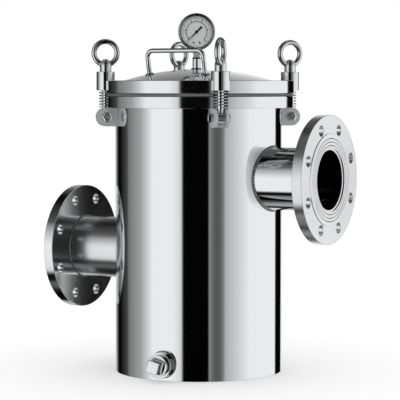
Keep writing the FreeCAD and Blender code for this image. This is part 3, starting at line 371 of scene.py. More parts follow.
def cylinder(radius, low, high, steps=96):
    return lathe(((0, low), (radius, low), (radius, high), (0, high)), 0, steps)


print("softened square has", len(soften(((1, 0), (2, 0), (2, 1), (1, 1)), 0.1)), "points")

# %% [markdown]
# A mesh is made in millimetres in a frame of its own, where the maths is simple, and then put in its place
# with a matrix. The object keeps that matrix, so that its local Z axis is the axis it was turned on.

# %% Frames and objects


def axes(origin, z_axis=(0, 0, 1), x_axis=(1, 0, 0)):
    """Frame with its own Z and X directions, in millimetres."""
    z = Vector(z_axis).normalized()
    x = (Vector(x_axis) - z * Vector(x_axis).dot(z)).normalized()
    y = z.cross(x)
    rotation = Matrix((x, y, z)).transposed().to_4x4()
    return Matrix.Translation(Vector(origin)) @ rotation


def in_metres(matrix):
    return Matrix.Translation(matrix.translation * MM) @ matrix.to_3x3().to_4x4()


def plain_object(name, mesh, matrix=Matrix()):
    """Put a mesh that is in millimetres into the scene, in metres."""
    data = bpy.data.meshes.new(name)
    mesh.to_mesh(data)
    mesh.free()
    data.transform(Matrix.Scale(MM, 4))
    item = bpy.data.objects.new(name, data)
    bpy.context.scene.collection.objects.link(item)
    item.matrix_world = in_metres(matrix)
    return item


def taken_mesh(item):
    """Take an object's mesh back, in millimetres, and remove the object."""
    mesh = bmesh.new()
    mesh.from_mesh(item.data)
    mesh.transform(Matrix.Scale(1 / MM, 4))
    bpy.data.objects.remove(item)
    return mesh


def merged(parts):
    """Join (mesh, frame) pairs in one mesh."""
    whole = bmesh.new()
    for part, matrix in parts:
        copy = bpy.data.meshes.new("part")
        part.to_mesh(copy)
        copy.transform(matrix)
        whole.from_mesh(copy)
        bpy.data.meshes.remove(copy)
    return whole


print("a frame that looks along X:", [round(value) for value in axes((0, 0, 0), (1, 0, 0)).col[2]])

# %% [markdown]
# Holes and flats are cut with booleans, as a drill or a mill would. The exact solver is slower than the
# fast one but leaves clean edges. After that, faces that meet at a low angle are shaded as one surface,
# and weighted normals keep the flat ones flat up to their edges.

# %% Cutting and shading
BEVEL_FROM = math.radians(40)


def settle(item):
    """Apply an object's modifiers to its mesh."""
    bpy.context.view_layer.update()
    graph = bpy.context.evaluated_depsgraph_get()
    data = bpy.data.meshes.new_from_object(item.evaluated_get(graph))
    old = item.data
    item.modifiers.clear()
    item.data = data
    data.name = item.name
    bpy.data.meshes.remove(old)


def carve(item, cutters, operation="DIFFERENCE"):
    """Cut (mesh, frame) pairs out of an object, or join them to it."""
    for mesh, matrix in cutters:
        tool = plain_object("tool", mesh, matrix)
        step = item.modifiers.new("carve", "BOOLEAN")
        step.operation = operation
        step.solver = "EXACT"
        step.object = tool
        settle(item)
        bpy.data.objects.remove(tool)


def shade(item, angle):
    """Shade smooth, apart from edges that are sharper than an angle in degrees."""
    item.data.shade_smooth()
    item.data.set_sharp_from_angle(angle=math.radians(angle))


def smooth(item, angle=33.0, bevel=0.0, segments=2):
    """Bevel the sharp edges if asked, and shade so that flat faces stay flat up to their edges."""
    if bevel:
        edge = item.modifiers.new("edge", "BEVEL")
        edge.width = bevel * MM
        edge.segments = segments
        edge.limit_method = "ANGLE"
        edge.angle_limit = BEVEL_FROM
        settle(item)
    shade(item, angle)
    weigh = item.modifiers.new("weigh", "WEIGHTED_NORMAL")
    weigh.keep_sharp = True
    settle(item)


print("edges over", round(math.degrees(BEVEL_FROM)), "degrees can be bevelled")

# %% [markdown]
# Every piece then gets its finish and its place in the assembly: the body it rides on and the nodes of the
# imported model that it stands for, which are hidden. One function says all of it, so that no piece can be
# forgotten.

# %% Dressing a piece
PIECES = []


def dress(item, body, slot, material, *nodes):
    """Give a piece its material and its body, and hide the nodes that it stands for. Its slot is not used.
    """
    item.data.materials.clear()
    item.data.materials.append(material)
    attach(item, body)
    if nodes:
        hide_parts(*nodes)
    PIECES.append(item.name)
    return item


def turned(name, corners, body, slot, material, nodes, matrix=Matrix(), edge=0.4, steps=160, cutters=()):
    """A turned piece: outline, holes, shading and dressing in one call."""
    item = plain_object(name, lathe(corners, edge, steps), matrix)
    carve(item, cutters)
    smooth(item)
    return dress(item, body, slot, material, *nodes)


print("helpers ready, pieces so far:", len(PIECES))

# %% [markdown]
# The camera stands at the height of the lid, far away with a long lens, and looks slightly down at the
# strainer from the right of its front. A product photographer would do the same: close by, with a wide
# lens, the sides of the vessel would lean together.

# %% Camera
VIEW_TURN = math.radians(29.37)
VIEW_DISTANCE = 3.273
VIEW_HEIGHT = 0.499
VIEW_PITCH = math.radians(3.5)
camera_data = bpy.data.cameras.new("camera")
camera_data.sensor_width = 36.0
camera_data.lens = 168.1
camera_data.shift_x = 0.003
camera = bpy.data.objects.new("camera", camera_data)
bpy.context.scene.collection.objects.link(camera)
camera.location = (VIEW_DISTANCE * math.sin(VIEW_TURN), -VIEW_DISTANCE * math.cos(VIEW_TURN), VIEW_HEIGHT)
camera.rotation_euler = (math.radians(90) - VIEW_PITCH, 0, VIEW_TURN)
bpy.context.scene.camera = camera
bpy.context.scene.view_settings.view_transform = "Standard"
print("camera at", tuple(round(value, 3) for value in camera.location))

# %% [markdown]
# Polished steel has no colour of its own to speak of: it shows the room. A product studio for steel is
# white with a few black cards, and the cards give the dark stripes down the vessel. The room is drawn as
# the world's colour by compass direction and height, fixed in space. Only glossy rays see it. The camera
# and the matt surfaces see an even white room.

# %% Tones of the studio
TO_CAMERA = math.atan2(-math.cos(VIEW_TURN), math.sin(VIEW_TURN))
# Bearing from the camera's own direction in degrees, positive to its right
STUDIO_WALL = (
    (-180, "C4C4C4"), (-160, "B0B0B0"), (-153, "5E5E5E"), (-147, "080808"), (-137, "080808"),
    (-129, "2A2A2A"), (-117, "484848"), (-112, "7D7D7D"), (-99, "989898"), (-87, "ADADAD"),
    (-76, "D8D8D8"), (-66, "FFFFFF"), (-36, "FFFFFF"), (-24.5, "E6E6E6"), (-21.6, "030303"),
    (12.8, "020202"), (14.4, "929292"), (19, "6B6B6B"), (24, "5C5C5C"), (30, "666666"),
    (34, "8A8A8A"), (37, "BEBEBE"), (49, "D5D5D5"), (62, "EAEAEA"), (74, "FFFFFF"), (128, "FFFFFF"),
    (140, "C4C4C4"), (180, "C4C4C4"),
)
# Sine of the height above the horizon: pale straight down, a black line round the foot of the walls, white
# at eye level, and darker up to the ceiling, which is paler again in its middle
STUDIO_HEIGHT = (
    (-1, "B8B8B8"), (-0.81, "B4B4B4"), (-0.77, "1A1A1A"), (-0.68, "1A1A1A"), (-0.6, "FFFFFF"),
    (0.06, "FFFFFF"), (0.29, "DDDDDD"), (0.42, "C3C3C3"), (0.52, "AAAAAA"), (0.62, "656565"),
    (0.86, "5A5A5A"), (0.96, "A8A8A8"), (1, "A8A8A8"),
)


def tones(tree, source, stops):
    """Colour ramp over the whole range of its stops."""
    low, high = stops[0][0], stops[-1][0]
    share = add(tree, "ShaderNodeMapRange", Value=source, From_Min=low, From_Max=high)
    ramp_node = add(tree, "ShaderNodeValToRGB", Fac=share.outputs[0])
    ramp = ramp_node.color_ramp
    for number, (value, code) in enumerate(stops):
        position = (value - low) / (high - low)
        stop = ramp.elements[0] if number == 0 else ramp.elements.new(position)
        stop.position = position
        stop.color = colour(code)
    # The ramp came with a white stop at its end, which is now a double
    ramp.elements.remove(ramp.elements[-1])
    return ramp_node.outputs[0]


print("studio wall with", len(STUDIO_WALL), "tones,", len(STUDIO_HEIGHT), "from floor to ceiling")

# %% [markdown]
# The two lists of tones are multiplied, as a wall's paint is by the light that falls on it. A ramp in the
# world is quicker to set and to read than a built room with lamps, and it gives no noise.

# %% Studio room


def studio_world():
    world = bpy.data.worlds.new("studio")
    bpy.context.scene.world = world
    world.use_nodes = True
    tree = world.node_tree
    tree.nodes.clear()
    place = add(tree, "ShaderNodeTexCoord")
    turned_room = add(tree, "ShaderNodeVectorRotate", {"rotation_type": "Z_AXIS"},
                      Vector=place.outputs["Generated"], Angle=-TO_CAMERA)
    parts = add(tree, "ShaderNodeSeparateXYZ", Vector=turned_room.outputs[0])
    bearing = add(tree, "ShaderNodeMath", {"operation": "ARCTAN2"}, i0=parts.outputs[1],
                  i1=parts.outputs[0])
    degrees = add(tree, "ShaderNodeMath", {"operation": "DEGREES"}, i0=bearing.outputs[0])
    room = add(tree, "ShaderNodeMixRGB", {"blend_type": "MULTIPLY"}, Fac=1.0,
               Color1=tones(tree, degrees.outputs[0], STUDIO_WALL),
               Color2=tones(tree, parts.outputs[2], STUDIO_HEIGHT))
    rays = add(tree, "ShaderNodeLightPath")
    even = add(tree, "ShaderNodeMixRGB", Fac=rays.outputs["Is Camera Ray"], Color1=colour("EFEFEF"),
               Color2=colour("FFFFFF"))
    seen = add(tree, "ShaderNodeMixRGB", Fac=rays.outputs["Is Glossy Ray"], Color1=even.outputs[0],
               Color2=room.outputs[0])
    background = add(tree, "ShaderNodeBackground", Color=seen.outputs[0], Strength=1.0)
    output = add(tree, "ShaderNodeOutputWorld")
    tree.links.new(background.outputs[0], output.inputs[0])


studio_world()
print("room turned by", round(math.degrees(TO_CAMERA), 1), "degrees to face the camera")

# %% [markdown]
# The strainer stands on a wide sheet of white paper that keeps its soft shadow. The paper lights up a
# little for the camera only, so that it runs into the white wall. The cards behind the strainer give the
# dark edges of its silhouette. They stand near enough that each piece shows them at another place.

# %% Floor and cards
FLOOR_RADIUS = 9000.0
FLOOR_GAP = 0.3
FLOOR_LIFT = 0.28
CARD_DISTANCE = 1037.0
CARD_HEIGHTS = (-900.0, 1200.0)
# Name, colour, left edge and right edge
CARDS = (("black_card", "050505", 23.0, 445.0), ("grey_card", "3C3C3C", 445.0, 512.0))


def studio_floor():
    """Flat sheet of white paper. The steel shows the room instead of it."""
    mesh = bmesh.new()
    bmesh.ops.create_circle(mesh, cap_ends=True, radius=FLOOR_RADIUS, segments=96)
    floor = plain_object("floor", mesh, axes((0, 0, -FLOOR_GAP)))
    material, tree, shader = new_material("white_paper")
    set_inputs(shader, Base_Color=colour("F4F4F4"), Roughness=0.9, Specular_IOR_Level=0.1,
               Emission_Color=colour("FFFFFF"))
    rays = add(tree, "ShaderNodeLightPath")
    lift = add(tree, "ShaderNodeMath", {"operation": "MULTIPLY"}, i0=rays.outputs["Is Camera Ray"],
               i1=FLOOR_LIFT)
    tree.links.new(lift.outputs[0], shader.inputs["Emission Strength"])
    floor.data.materials.append(material)
    floor.visible_glossy = False


def studio_card(name, code, left, right):
    """Matt card that only reflections show."""
    low, high = CARD_HEIGHTS
    mesh = bmesh.new()
    mesh.faces.new([mesh.verts.new((x, CARD_DISTANCE, z))
                    for x, z in ((left, low), (right, low), (right, high), (left, high))])
    card = plain_object(name, mesh)
    material, _, shader = new_material(name)
    set_inputs(shader, Base_Color=colour(code), Roughness=1.0, Specular_IOR_Level=0.0)
    card.data.materials.append(material)
    for kind in ("camera", "diffuse", "transmission", "volume_scatter", "shadow"):
        setattr(card, "visible_" + kind, False)


studio_floor()
for values in CARDS:
    studio_card(*values)
print("staged a floor and", len(CARDS), "cards")

# %% [markdown]
# The vessel shell is one rolled sheet, welded and buffed. It could be a plain tube, but the nozzles
# open into it, and a look into the inlet shows its wall. So the tube is spun with a fine step, which
# keeps its reflections straight, and the three openings are cut out of it.

# %% Shell and bottom
PIPE_RADIUS = 54.0
PIPE_BORE = 51.0
DRAIN_TURN = math.radians(-85)
DRAIN_HEIGHT = 28.0
DRAIN_RADIUS = 22.0
THROUGH_WALL = (60, 220)
SHELL_STEPS = 288
BOTTOM_RADIUS = SHELL_INSIDE - 0.05
INLET = axes((0, 0, INLET_HEIGHT), (1, 0, 0), (0, 0, 1))
OUTLET = axes((0, 0, OUTLET_HEIGHT), (-1, 0, 0), (0, 0, 1))
DRAIN = axes((0, 0, DRAIN_HEIGHT), (math.cos(DRAIN_TURN), math.sin(DRAIN_TURN), 0), (0, 0, 1))
turned("vessel_shell", ((SHELL_INSIDE, 0), (SHELL_RADIUS, 0), (SHELL_RADIUS, FLANGE_HIGH.z),
                        (SHELL_INSIDE, FLANGE_HIGH.z)),
       "vessel", "polished_steel", MIRROR, ["shell"], edge=0.3, steps=SHELL_STEPS,
       cutters=[(cylinder(radius, *THROUGH_WALL), place)
                for radius, place in ((PIPE_RADIUS, INLET), (PIPE_RADIUS, OUTLET), (DRAIN_RADIUS, DRAIN))])
plate_low, plate_high = span("bottom_plate")
turned("vessel_bottom", ((0, plate_low.z), (BOTTOM_RADIUS, plate_low.z), (BOTTOM_RADIUS, plate_high.z),
                         (0, plate_high.z)),
       "vessel", "turned_steel", TURNED, ["bottom_plate"], steps=192)
print("shell cut for inlet, outlet and drain")

# %% [markdown]
# The vessel flange and the lid ring are turned from plate, with four U-shaped notches that let the swing
# bolts swing in from outside. The gasket between them is grey rubber, with a narrow neck above and below
# its rounded edge. All three are spun and then cut with the same four tools, so their notches line up.

# %% Closure rings
BOLT_CIRCLE = 165.0
BOLT_PHASE = math.radians(42)
STATION_COUNT = 4
NOTCH_RADIUS = 12.2
NOTCH_STEPS = 24
NOTCH_SPARE = 20.0
GASKET_INSIDE = 150.0
GASKET_NECK = FLANGE_RADIUS - 3.0
DOME_EDGE = 131.0


def prism(outline, low, high):
    """Stretch a closed outline of (x, y) points from one height to another."""
    mesh = bmesh.new()
    bottom = [mesh.verts.new((x, y, low)) for x, y in outline]
    top = [mesh.verts.new((x, y, high)) for x, y in outline]
    mesh.faces.new(list(reversed(bottom)))
    mesh.faces.new(top)
    count = len(outline)
    for index in range(count):
        after = (index + 1) % count
        mesh.faces.new((bottom[index], bottom[after], top[after], top[index]))
    bmesh.ops.recalc_face_normals(mesh, faces=mesh.faces)
    return mesh


def station_turn(number):
    """Angle of a swing bolt round the vessel, from 0 to 3."""
    return BOLT_PHASE + number * math.pi / 2


def notch_cutters():
    """Four U-shaped tools that are open outward."""
    outline = []
    for step in range(NOTCH_STEPS + 1):
        angle = math.pi / 2 + math.pi * step / NOTCH_STEPS
        outline.append((BOLT_CIRCLE + NOTCH_RADIUS * math.cos(angle), NOTCH_RADIUS * math.sin(angle)))
    outline += [(BOLT_CIRCLE + 30, -NOTCH_RADIUS), (BOLT_CIRCLE + 30, NOTCH_RADIUS)]
    return [(prism(outline, FLANGE_LOW.z - NOTCH_SPARE, LID_HIGH.z + NOTCH_SPARE),
             Matrix.Rotation(station_turn(number), 4, "Z")) for number in range(STATION_COUNT)]


def closure_ring(name, node, corners, body, slot, material, edge):
    turned(name, corners, body, slot, material, [node], edge=edge, steps=SHELL_STEPS,
           cutters=notch_cutters())


closure_ring("flange_ring", "vessel_flange", (
    (SHELL_RADIUS, FLANGE_LOW.z), (FLANGE_RADIUS, FLANGE_LOW.z), (FLANGE_RADIUS, FLANGE_HIGH.z, 1.0),
    (SHELL_RADIUS, FLANGE_HIGH.z)), "vessel", "turned_steel", TURNED_FINE, 0.6)
closure_ring("gasket_ring", "lid_gasket", (
    (GASKET_INSIDE, FLANGE_HIGH.z), (GASKET_NECK, FLANGE_HIGH.z), (GASKET_NECK, FLANGE_HIGH.z + 1.2),
    (FLANGE_RADIUS, FLANGE_HIGH.z + 1.5, 0.9), (FLANGE_RADIUS, LID_LOW.z - 1.5, 0.9),
    (GASKET_NECK, LID_LOW.z - 1.2), (GASKET_NECK, LID_LOW.z), (GASKET_INSIDE, LID_LOW.z)),
    "vessel", "gasket_rubber", PALE_RUBBER, 0.2)
closure_ring("lid_ring", "lid_rim", (
    (DOME_EDGE, LID_LOW.z), (LID_RADIUS, LID_LOW.z, 1.0), (LID_RADIUS, LID_HIGH.z, 1.2),
    (DOME_EDGE, LID_HIGH.z)), "lid", "turned_steel", TURNED_FINE, 0.3)
print("rings notched for", STATION_COUNT, "swing bolts")

# %% [markdown]
# The lid's dome is pressed from sheet over a die, so it is a shallow piece of a sphere. A spun arc with
# enough points gives it; a flat disc with bump would not bend the reflections. It is buffed like the
# vessel, and bored for the gauge behind its middle.

# %% Lid dome
DOME_RISE = 20.0
DOME_SHEET = 4.0
DOME_STEPS = 40
SPHERE = (DOME_EDGE ** 2 + DOME_RISE ** 2) / (2 * DOME_RISE)
SPHERE_MIDDLE = LID_HIGH.z + DOME_RISE - SPHERE
SOCKET_BORE = 5.0
THROUGH_DOME = (480, 560)
GAUGE_BACK = 8.0
GAUGE_FOOT = axes((0, -GAUGE_BACK, 0))


def dome_height(radius, sphere=SPHERE):
    """Height of the dome at a distance from the axis, outside or on a sphere of another size."""
    return SPHERE_MIDDLE + math.sqrt(sphere ** 2 - radius ** 2)


dome_radii = [DOME_EDGE * step / DOME_STEPS for step in range(DOME_STEPS + 1)]
outer_arc = [(radius, dome_height(radius), 0) for radius in dome_radii]
inner_arc = [(radius, dome_height(radius, SPHERE - DOME_SHEET), 0) for radius in reversed(dome_radii)]
turned("lid_dome_sheet", outer_arc + inner_arc, "lid", "polished_steel", MIRROR, ["lid_dome"], steps=256,
       cutters=[(cylinder(SOCKET_BORE, *THROUGH_DOME), GAUGE_FOOT)])
print("dome sphere radius", round(SPHERE, 1), "mm")

# %% [markdown]
# The handle is a polished rod, bent twice and leaned back by a few degrees. A curve with a bevel would
# pull its bends out of round, so the route is worked out as straight runs and true arcs, and a tube of 32
# sides is swept along it.

# %% Handle
HANDLE_ROD = 4.0
HANDLE_HALF = 55.0
HANDLE_FRONT = 75.0
HANDLE_TOP = 42.0
HANDLE_ROOT = -3.0
HANDLE_BEND = 11.5
HANDLE_LEAN = math.radians(12.5)


def sweep_tube(points, radius, sides=16, closed=False):
    """Tube along points. radius is a number, or a function of the point's number."""
    mesh = bmesh.new()
    rings = []
    count = len(points)
    normal = None
    for index, point in enumerate(points):
        ahead = points[(index + 1) % count] if closed or index < count - 1 else point
        behind = points[index - 1] if closed or index else point
        along = (ahead - behind).normalized()
        if normal is None:
            normal = along.orthogonal().normalized()
        normal = (normal - along * normal.dot(along)).normalized()
        side = along.cross(normal)
        reach = radius(index) if callable(radius) else radius
        turns = [round_step(step, sides) for step in range(sides)]
        rings.append([mesh.verts.new(point + (normal * math.cos(turn) + side * math.sin(turn)) * reach)
                      for turn in turns])
    for index in range(count if closed else count - 1):
        one, two = rings[index], rings[(index + 1) % count]
        shift = 0
        if closed and index == count - 1:
            # The last ring may come round turned against the first, so it meets the nearest point
            shift = min(range(sides), key=lambda s: (two[s].co - one[0].co).length)
        for step in range(sides):
            after = (step + 1) % sides
            mesh.faces.new((one[step], one[after], two[(after + shift) % sides],
                            two[(step + shift) % sides]))
    if not closed:
        mesh.faces.new(list(reversed(rings[0])))
        mesh.faces.new(rings[-1])
    bmesh.ops.recalc_face_normals(mesh, faces=mesh.faces)
    return mesh


def bent_path(corners, radius, step):
    """Points along a route with round bends of one radius."""
    path = [corners[0]]
    for before, here, after in zip(corners, corners[1:], corners[2:]):
        into = (before - here).normalized()
        out = (after - here).normalized()
        half = into.angle(out) / 2
        reach = radius / math.tan(half)
        middle = here + (into + out).normalized() * (radius / math.sin(half))
        start, end = here + into * reach, here + out * reach
        steps = max(8, int((math.pi - 2 * half) * radius / step))
        one, two = start - middle, end - middle
        sweep = one.angle(two)
        for number in range(steps + 1):
            done = sweep * number / steps
            path.append(middle + (one * math.sin(sweep - done) + two * math.sin(done)) / math.sin(sweep))
    path.append(corners[-1])
    return path


foot = dome_height(math.hypot(HANDLE_HALF, HANDLE_FRONT))
lean = Matrix.Translation((0, -HANDLE_FRONT, foot)) @ Matrix.Rotation(HANDLE_LEAN, 4, "X")
route = [Vector((x, 0, z)) for x, z in ((-HANDLE_HALF, HANDLE_ROOT), (-HANDLE_HALF, HANDLE_TOP),
                                        (HANDLE_HALF, HANDLE_TOP), (HANDLE_HALF, HANDLE_ROOT))]
handle = plain_object("handle_rod", sweep_tube(bent_path(route, HANDLE_BEND, 0.8), HANDLE_ROD, 32), lean)
smooth(handle)
dress(handle, "lid", "polished_steel", MIRROR_BAR, "lid_handle")
print("handle foot at", round(foot, 1), "mm")

# %% [markdown]
# The rod has a weld bead round each foot, laid in small overlapping drops. A plain ring would look like a
# washer, so the ring's thickness swells and shrinks with each drop.

# %% Handle welds
BEAD_SHADING = 60
FOOT_BEAD_STEPS = 72
FOOT_WIDE, FOOT_LONG = 5.6, 5.2


def bead(points, radius, ripple, drops):
    """Closed weld bead whose thickness swells with each drop."""
    count = len(points)
    return sweep_tube(points, lambda i: radius + ripple * abs(math.sin(math.pi * drops * i / count)), 12,
                      True)


def foot_bead(x):
    """Bead round one foot of the rod, lying on the dome."""
    points = []
    for step in range(FOOT_BEAD_STEPS):
        angle = round_step(step, FOOT_BEAD_STEPS)
        px = x + FOOT_WIDE * math.cos(angle)
        py = -HANDLE_FRONT + FOOT_LONG * math.sin(angle) - 0.4
        points.append(Vector((px, py, dome_height(math.hypot(px, py)) + 0.5)))
    return bead(points, 1.7, 0.5, 12)


def dressed_bead(name, mesh, body, *nodes, matrix=Matrix()):
    item = plain_object(name, mesh, matrix)
    smooth(item, BEAD_SHADING)
    return dress(item, body, "weld_steel", WELD, *nodes)


dressed_bead("handle_weld_beads", merged([(foot_bead(x), Matrix()) for x in (-HANDLE_HALF, HANDLE_HALF)]),
             "lid", "handle_welds")
print("handle's weld beads are", 2 * FOOT_WIDE, "mm across")

# %% [markdown]
# Each nozzle is a pipe with a turned flange welded on. The raised sealing face carries three grooves that
# bite into the gasket. They are cut in the outline, because a shallow groove in bump alone would not catch
# light at its edges. The eight bolt holes are drilled and lightly countersunk, so the drill that cuts them
# here has a flared mouth at each face.

# %% Flange outline and drill
FLANGE_OUTER = 110.0
FLANGE_BACK = NOZZLE_REACH - 20.0
FACE_STEP = 2.0
FACE_RADIUS = 79.0
GROOVES = (58.5, 64.5, 70.5)
GROOVE_SIZE = 0.7
HOLE_CIRCLE = 90.0
HOLE_RADIUS = 9.0
HOLES = 8
MOUTH = 5.6


def flange_corners():
    step = NOZZLE_REACH - FACE_STEP
    corners = [(PIPE_RADIUS, FLANGE_BACK), (FLANGE_OUTER, FLANGE_BACK, 1.0), (FLANGE_OUTER, step, 1.0),
               (FACE_RADIUS, step, 0.3), (FACE_RADIUS, NOZZLE_REACH, 0.5)]
    for groove in reversed(GROOVES):
        corners += [(groove + GROOVE_SIZE, NOZZLE_REACH, 0.1), (groove, NOZZLE_REACH - GROOVE_SIZE, 0.1),
                    (groove - GROOVE_SIZE, NOZZLE_REACH, 0.1)]
    corners.append((PIPE_RADIUS, NOZZLE_REACH, 0.6))
    return corners


def drills():
    """Eight drills, each with a small countersink at both faces."""
    back, front = FLANGE_BACK, NOZZLE_REACH - FACE_STEP
    corners = ((0, back - 5), (HOLE_RADIUS + MOUTH, back - 5), (HOLE_RADIUS, back + 0.6),
               (HOLE_RADIUS, front - 0.6), (HOLE_RADIUS + MOUTH, front + 5), (0, front + 5))
    tools = []
    for number in range(HOLES):
        angle = round_step(number + 0.5, HOLES)
        place = Matrix.Translation((HOLE_CIRCLE * math.cos(angle), HOLE_CIRCLE * math.sin(angle), 0))
        tools.append((lathe(corners, 0, 64), place))
    return tools


print("flange outline has", len(flange_corners()), "corners")

# %% [markdown]
# The inlet's flange shows its face and is turned with a coarser feed, the outlet's shows its back. The
# inlet's pipe is buffed like the vessel and the outlet's is brushed. Both pipes are cut to the shell's
# curve inside. The inlet flange isn't shown in reflections: its double in the vessel would cut across the
# clean stripes that the cards give.

# %% Nozzles
NOZZLE_FINISHES = (("inlet", INLET, TURNED, MIRROR), ("outlet", OUTLET, TURNED_FINE, SATIN_PIPE))
PIPE_START = 100
PIPE_END = NOZZLE_REACH - 3
for side, place, flange_finish, pipe_finish in NOZZLE_FINISHES:
    flange = turned(side + "_flange_disc", flange_corners(), "vessel", "turned_steel", flange_finish,
                    [side + "_flange"], place, steps=256,
                    cutters=[(tool, place @ matrix) for tool, matrix in drills()])
    flange.visible_glossy = side == "outlet"
    turned(side + "_pipe_run", ((PIPE_BORE, PIPE_START), (PIPE_RADIUS, PIPE_START),
                                (PIPE_RADIUS, PIPE_END), (PIPE_BORE, PIPE_END)),
           "vessel", "polished_steel", pipe_finish, [side + "_pipe"], place, 0.3, 192,
           cutters=[(cylinder(SHELL_INSIDE, 0, 600, SHELL_STEPS), Matrix())])
print("nozzles reach", round(NOZZLE_REACH, 1), "mm from the axis")

# %% [markdown]
# A pipe meets the round shell along a saddle curve, and the weld follows it. The curve comes from the
# equation of the two cylinders, which is exact and needs no boolean. The beads behind the flanges are
# plain rings, and are left out of reflections for the same reason as the inlet flange.

# %% Nozzle welds
SADDLE_STEPS = 240


def circle_points(radius, height, count=SADDLE_STEPS):
    return [Vector((radius * math.cos(turn), radius * math.sin(turn), height))
            for turn in (round_step(step, count) for step in range(count))]


def saddle(radius, reach):
    """Points of the curve where a pipe of this radius meets the shell, along the local Z axis."""
    return [Vector((point.x, point.y, math.sqrt(reach ** 2 - point.y ** 2)))
            for point in circle_points(radius, 0)]


def saddle_bead():
    return bead(saddle(PIPE_RADIUS + 0.7, SHELL_RADIUS + 0.5), 1.5, 1.0, 60)


def collar_bead():
    return bead(circle_points(PIPE_RADIUS + 0.7, FLANGE_BACK - 0.7), 2.0, 0.5, 60)


dressed_bead("saddle_weld_beads", merged([(saddle_bead(), place) for place in (INLET, OUTLET)]),
             "vessel", "nozzle_welds")
collars = dressed_bead("collar_weld_beads", merged([(collar_bead(), place) for place in (INLET, OUTLET)]),
                       "vessel", "flange_welds")
collars.visible_glossy = False
print("weld beads of", SADDLE_STEPS, "steps at both nozzles")

# %% [markdown]
# The drain has a turned socket that is welded into the shell, and a black rubber washer that lies on its
# face. Ready-made tubes would have sharp rims that show no line of light, so both are spun with rounded
# edges, round the drain's own axis. It points out of the vessel five degrees beside its front.

# %% Drain socket and washer
DRAIN_FACE = SHELL_RADIUS + 17.0
DRAIN_ROOT = SHELL_INSIDE + 0.4
THREAD_BORE = 16.7
COLLAR_RADIUS = 18.5
COLLAR = DRAIN_FACE + 2
turned("drain_boss", ((THREAD_BORE, DRAIN_ROOT), (DRAIN_RADIUS, DRAIN_ROOT),
                      (DRAIN_RADIUS, DRAIN_FACE, 1.0), (THREAD_BORE, DRAIN_FACE)),
       "vessel", "turned_steel", TURNED_FINE, ["drain_socket"], DRAIN, 0.5, 128)
dressed_bead("drain_weld_bead", bead(saddle(DRAIN_RADIUS + 0.3, SHELL_RADIUS + 0.4), 1.0, 0.4, 28),
             "vessel", "drain_weld", matrix=DRAIN)
turned("drain_seal", ((THREAD_BORE, DRAIN_FACE), (COLLAR_RADIUS, DRAIN_FACE), (COLLAR_RADIUS, COLLAR),
                      (THREAD_BORE, COLLAR)),
       "plug_washer", "washer_rubber", RUBBER, ["drain_washer"], DRAIN, 0.6, 128)
print("drain face at", round(DRAIN_FACE, 1), "mm")

# %% [markdown]
# Threads are seen on the swing bolts, and on the plug when it is out. The gauge's is hidden in its
# socket. A screw modifier gives open ends that a boolean can't join, so the rod is built as rings whose
# radius dips where the thread's groove passes, and it is closed at both ends.

# %% Threaded rod
RINGS_PER_TURN = 10
GROOVE_SLOPE = 2.4


def thread(radius, pitch, low, high, start, depth, steps=40, tip=0.0):
    """Closed rod with a screw thread from start to high, and a plain shank below.

    tip is how far the rod narrows at its upper end, and over which length.
    """
    heights = [low]
    if start > low:
        heights.append(start)
    count = int((high - start) / pitch * RINGS_PER_TURN)
    heights += [start + (high - start) * (i + 1) / count for i in range(count)]
    mesh = bmesh.new()
    rings = []
    for height in heights:
        narrow = tip * max(0.0, 1.0 - (high - height) / max(tip, TINY)) ** 1.5
        ring = []
        for step in range(steps):
            share = ((height - start) / pitch - step / steps) % 1.0
            groove = max(0.0, 1.0 - abs(share - 0.5) * GROOVE_SLOPE) if height > start else 0.0
            reach = radius - depth * groove - narrow
            angle = round_step(step, steps)
            ring.append(mesh.verts.new((reach * math.cos(angle), reach * math.sin(angle), height)))
        rings.append(ring)
    for one, two in zip(rings, rings[1:]):
        for step in range(steps):
            after = (step + 1) % steps
            mesh.faces.new((one[step], one[after], two[after], two[step]))
    mesh.faces.new(list(reversed(rings[0])))
    mesh.faces.new(rings[-1])
    bmesh.ops.recalc_face_normals(mesh, faces=mesh.faces)
    return mesh


print("thread grooves are", round(2 / GROOVE_SLOPE, 2), "of the pitch wide")

# %% [markdown]
# The plug's collar is turned and its square head is milled, with its edges broken as a wrench needs. The
# bevelled square and the thread are joined to the collar, so that the plug is one closed piece.

# %% Drain plug
PLUG_TURN = math.radians(-15)
SQUARE_HALF = 10.5
SHANK_RADIUS = 16.4
PIPE_PITCH = 2.309
square_place = DRAIN @ Matrix.Rotation(PLUG_TURN, 4, "Z")
plug = plain_object("drain_plug_body", lathe((
    (0, COLLAR - 1.5), (SHANK_RADIUS, COLLAR - 1.5), (SHANK_RADIUS, COLLAR, 0), (COLLAR_RADIUS, COLLAR),
    (COLLAR_RADIUS, COLLAR + 6, 1.0), (0, COLLAR + 6)), 0.5, 128), DRAIN)
corners = [(x * SQUARE_HALF, y * SQUARE_HALF) for x, y in ((-1, -1), (1, -1), (1, 1), (-1, 1))]
square = plain_object("drain_plug_square", prism(corners, COLLAR + 5, COLLAR + 24), square_place)
smooth(square, bevel=1.3, segments=3)
screw = thread(16.6, PIPE_PITCH, DRAIN_FACE - 15, COLLAR - 1.4, DRAIN_FACE - 15, 1.2, 72)
carve(plug, [(taken_mesh(square), square_place), (screw, DRAIN)], "UNION")
smooth(plug)
dress(plug, "plug", "turned_steel", MIRROR_BAR, "drain_plug")
print("plug's square is", 2 * SQUARE_HALF, "mm wide")

# %% [markdown]
# Four swing bolts close the lid. Each hangs on a pin in a fork that is welded to the shell. The fork is
# cut from thick plate with a round end. It could be a box with a cylinder at its end, but their seam
# would show as a line. So one side outline is stretched to the fork's width, and then the slot for the
# bolt, the pin's hole and the seat on the shell are cut.

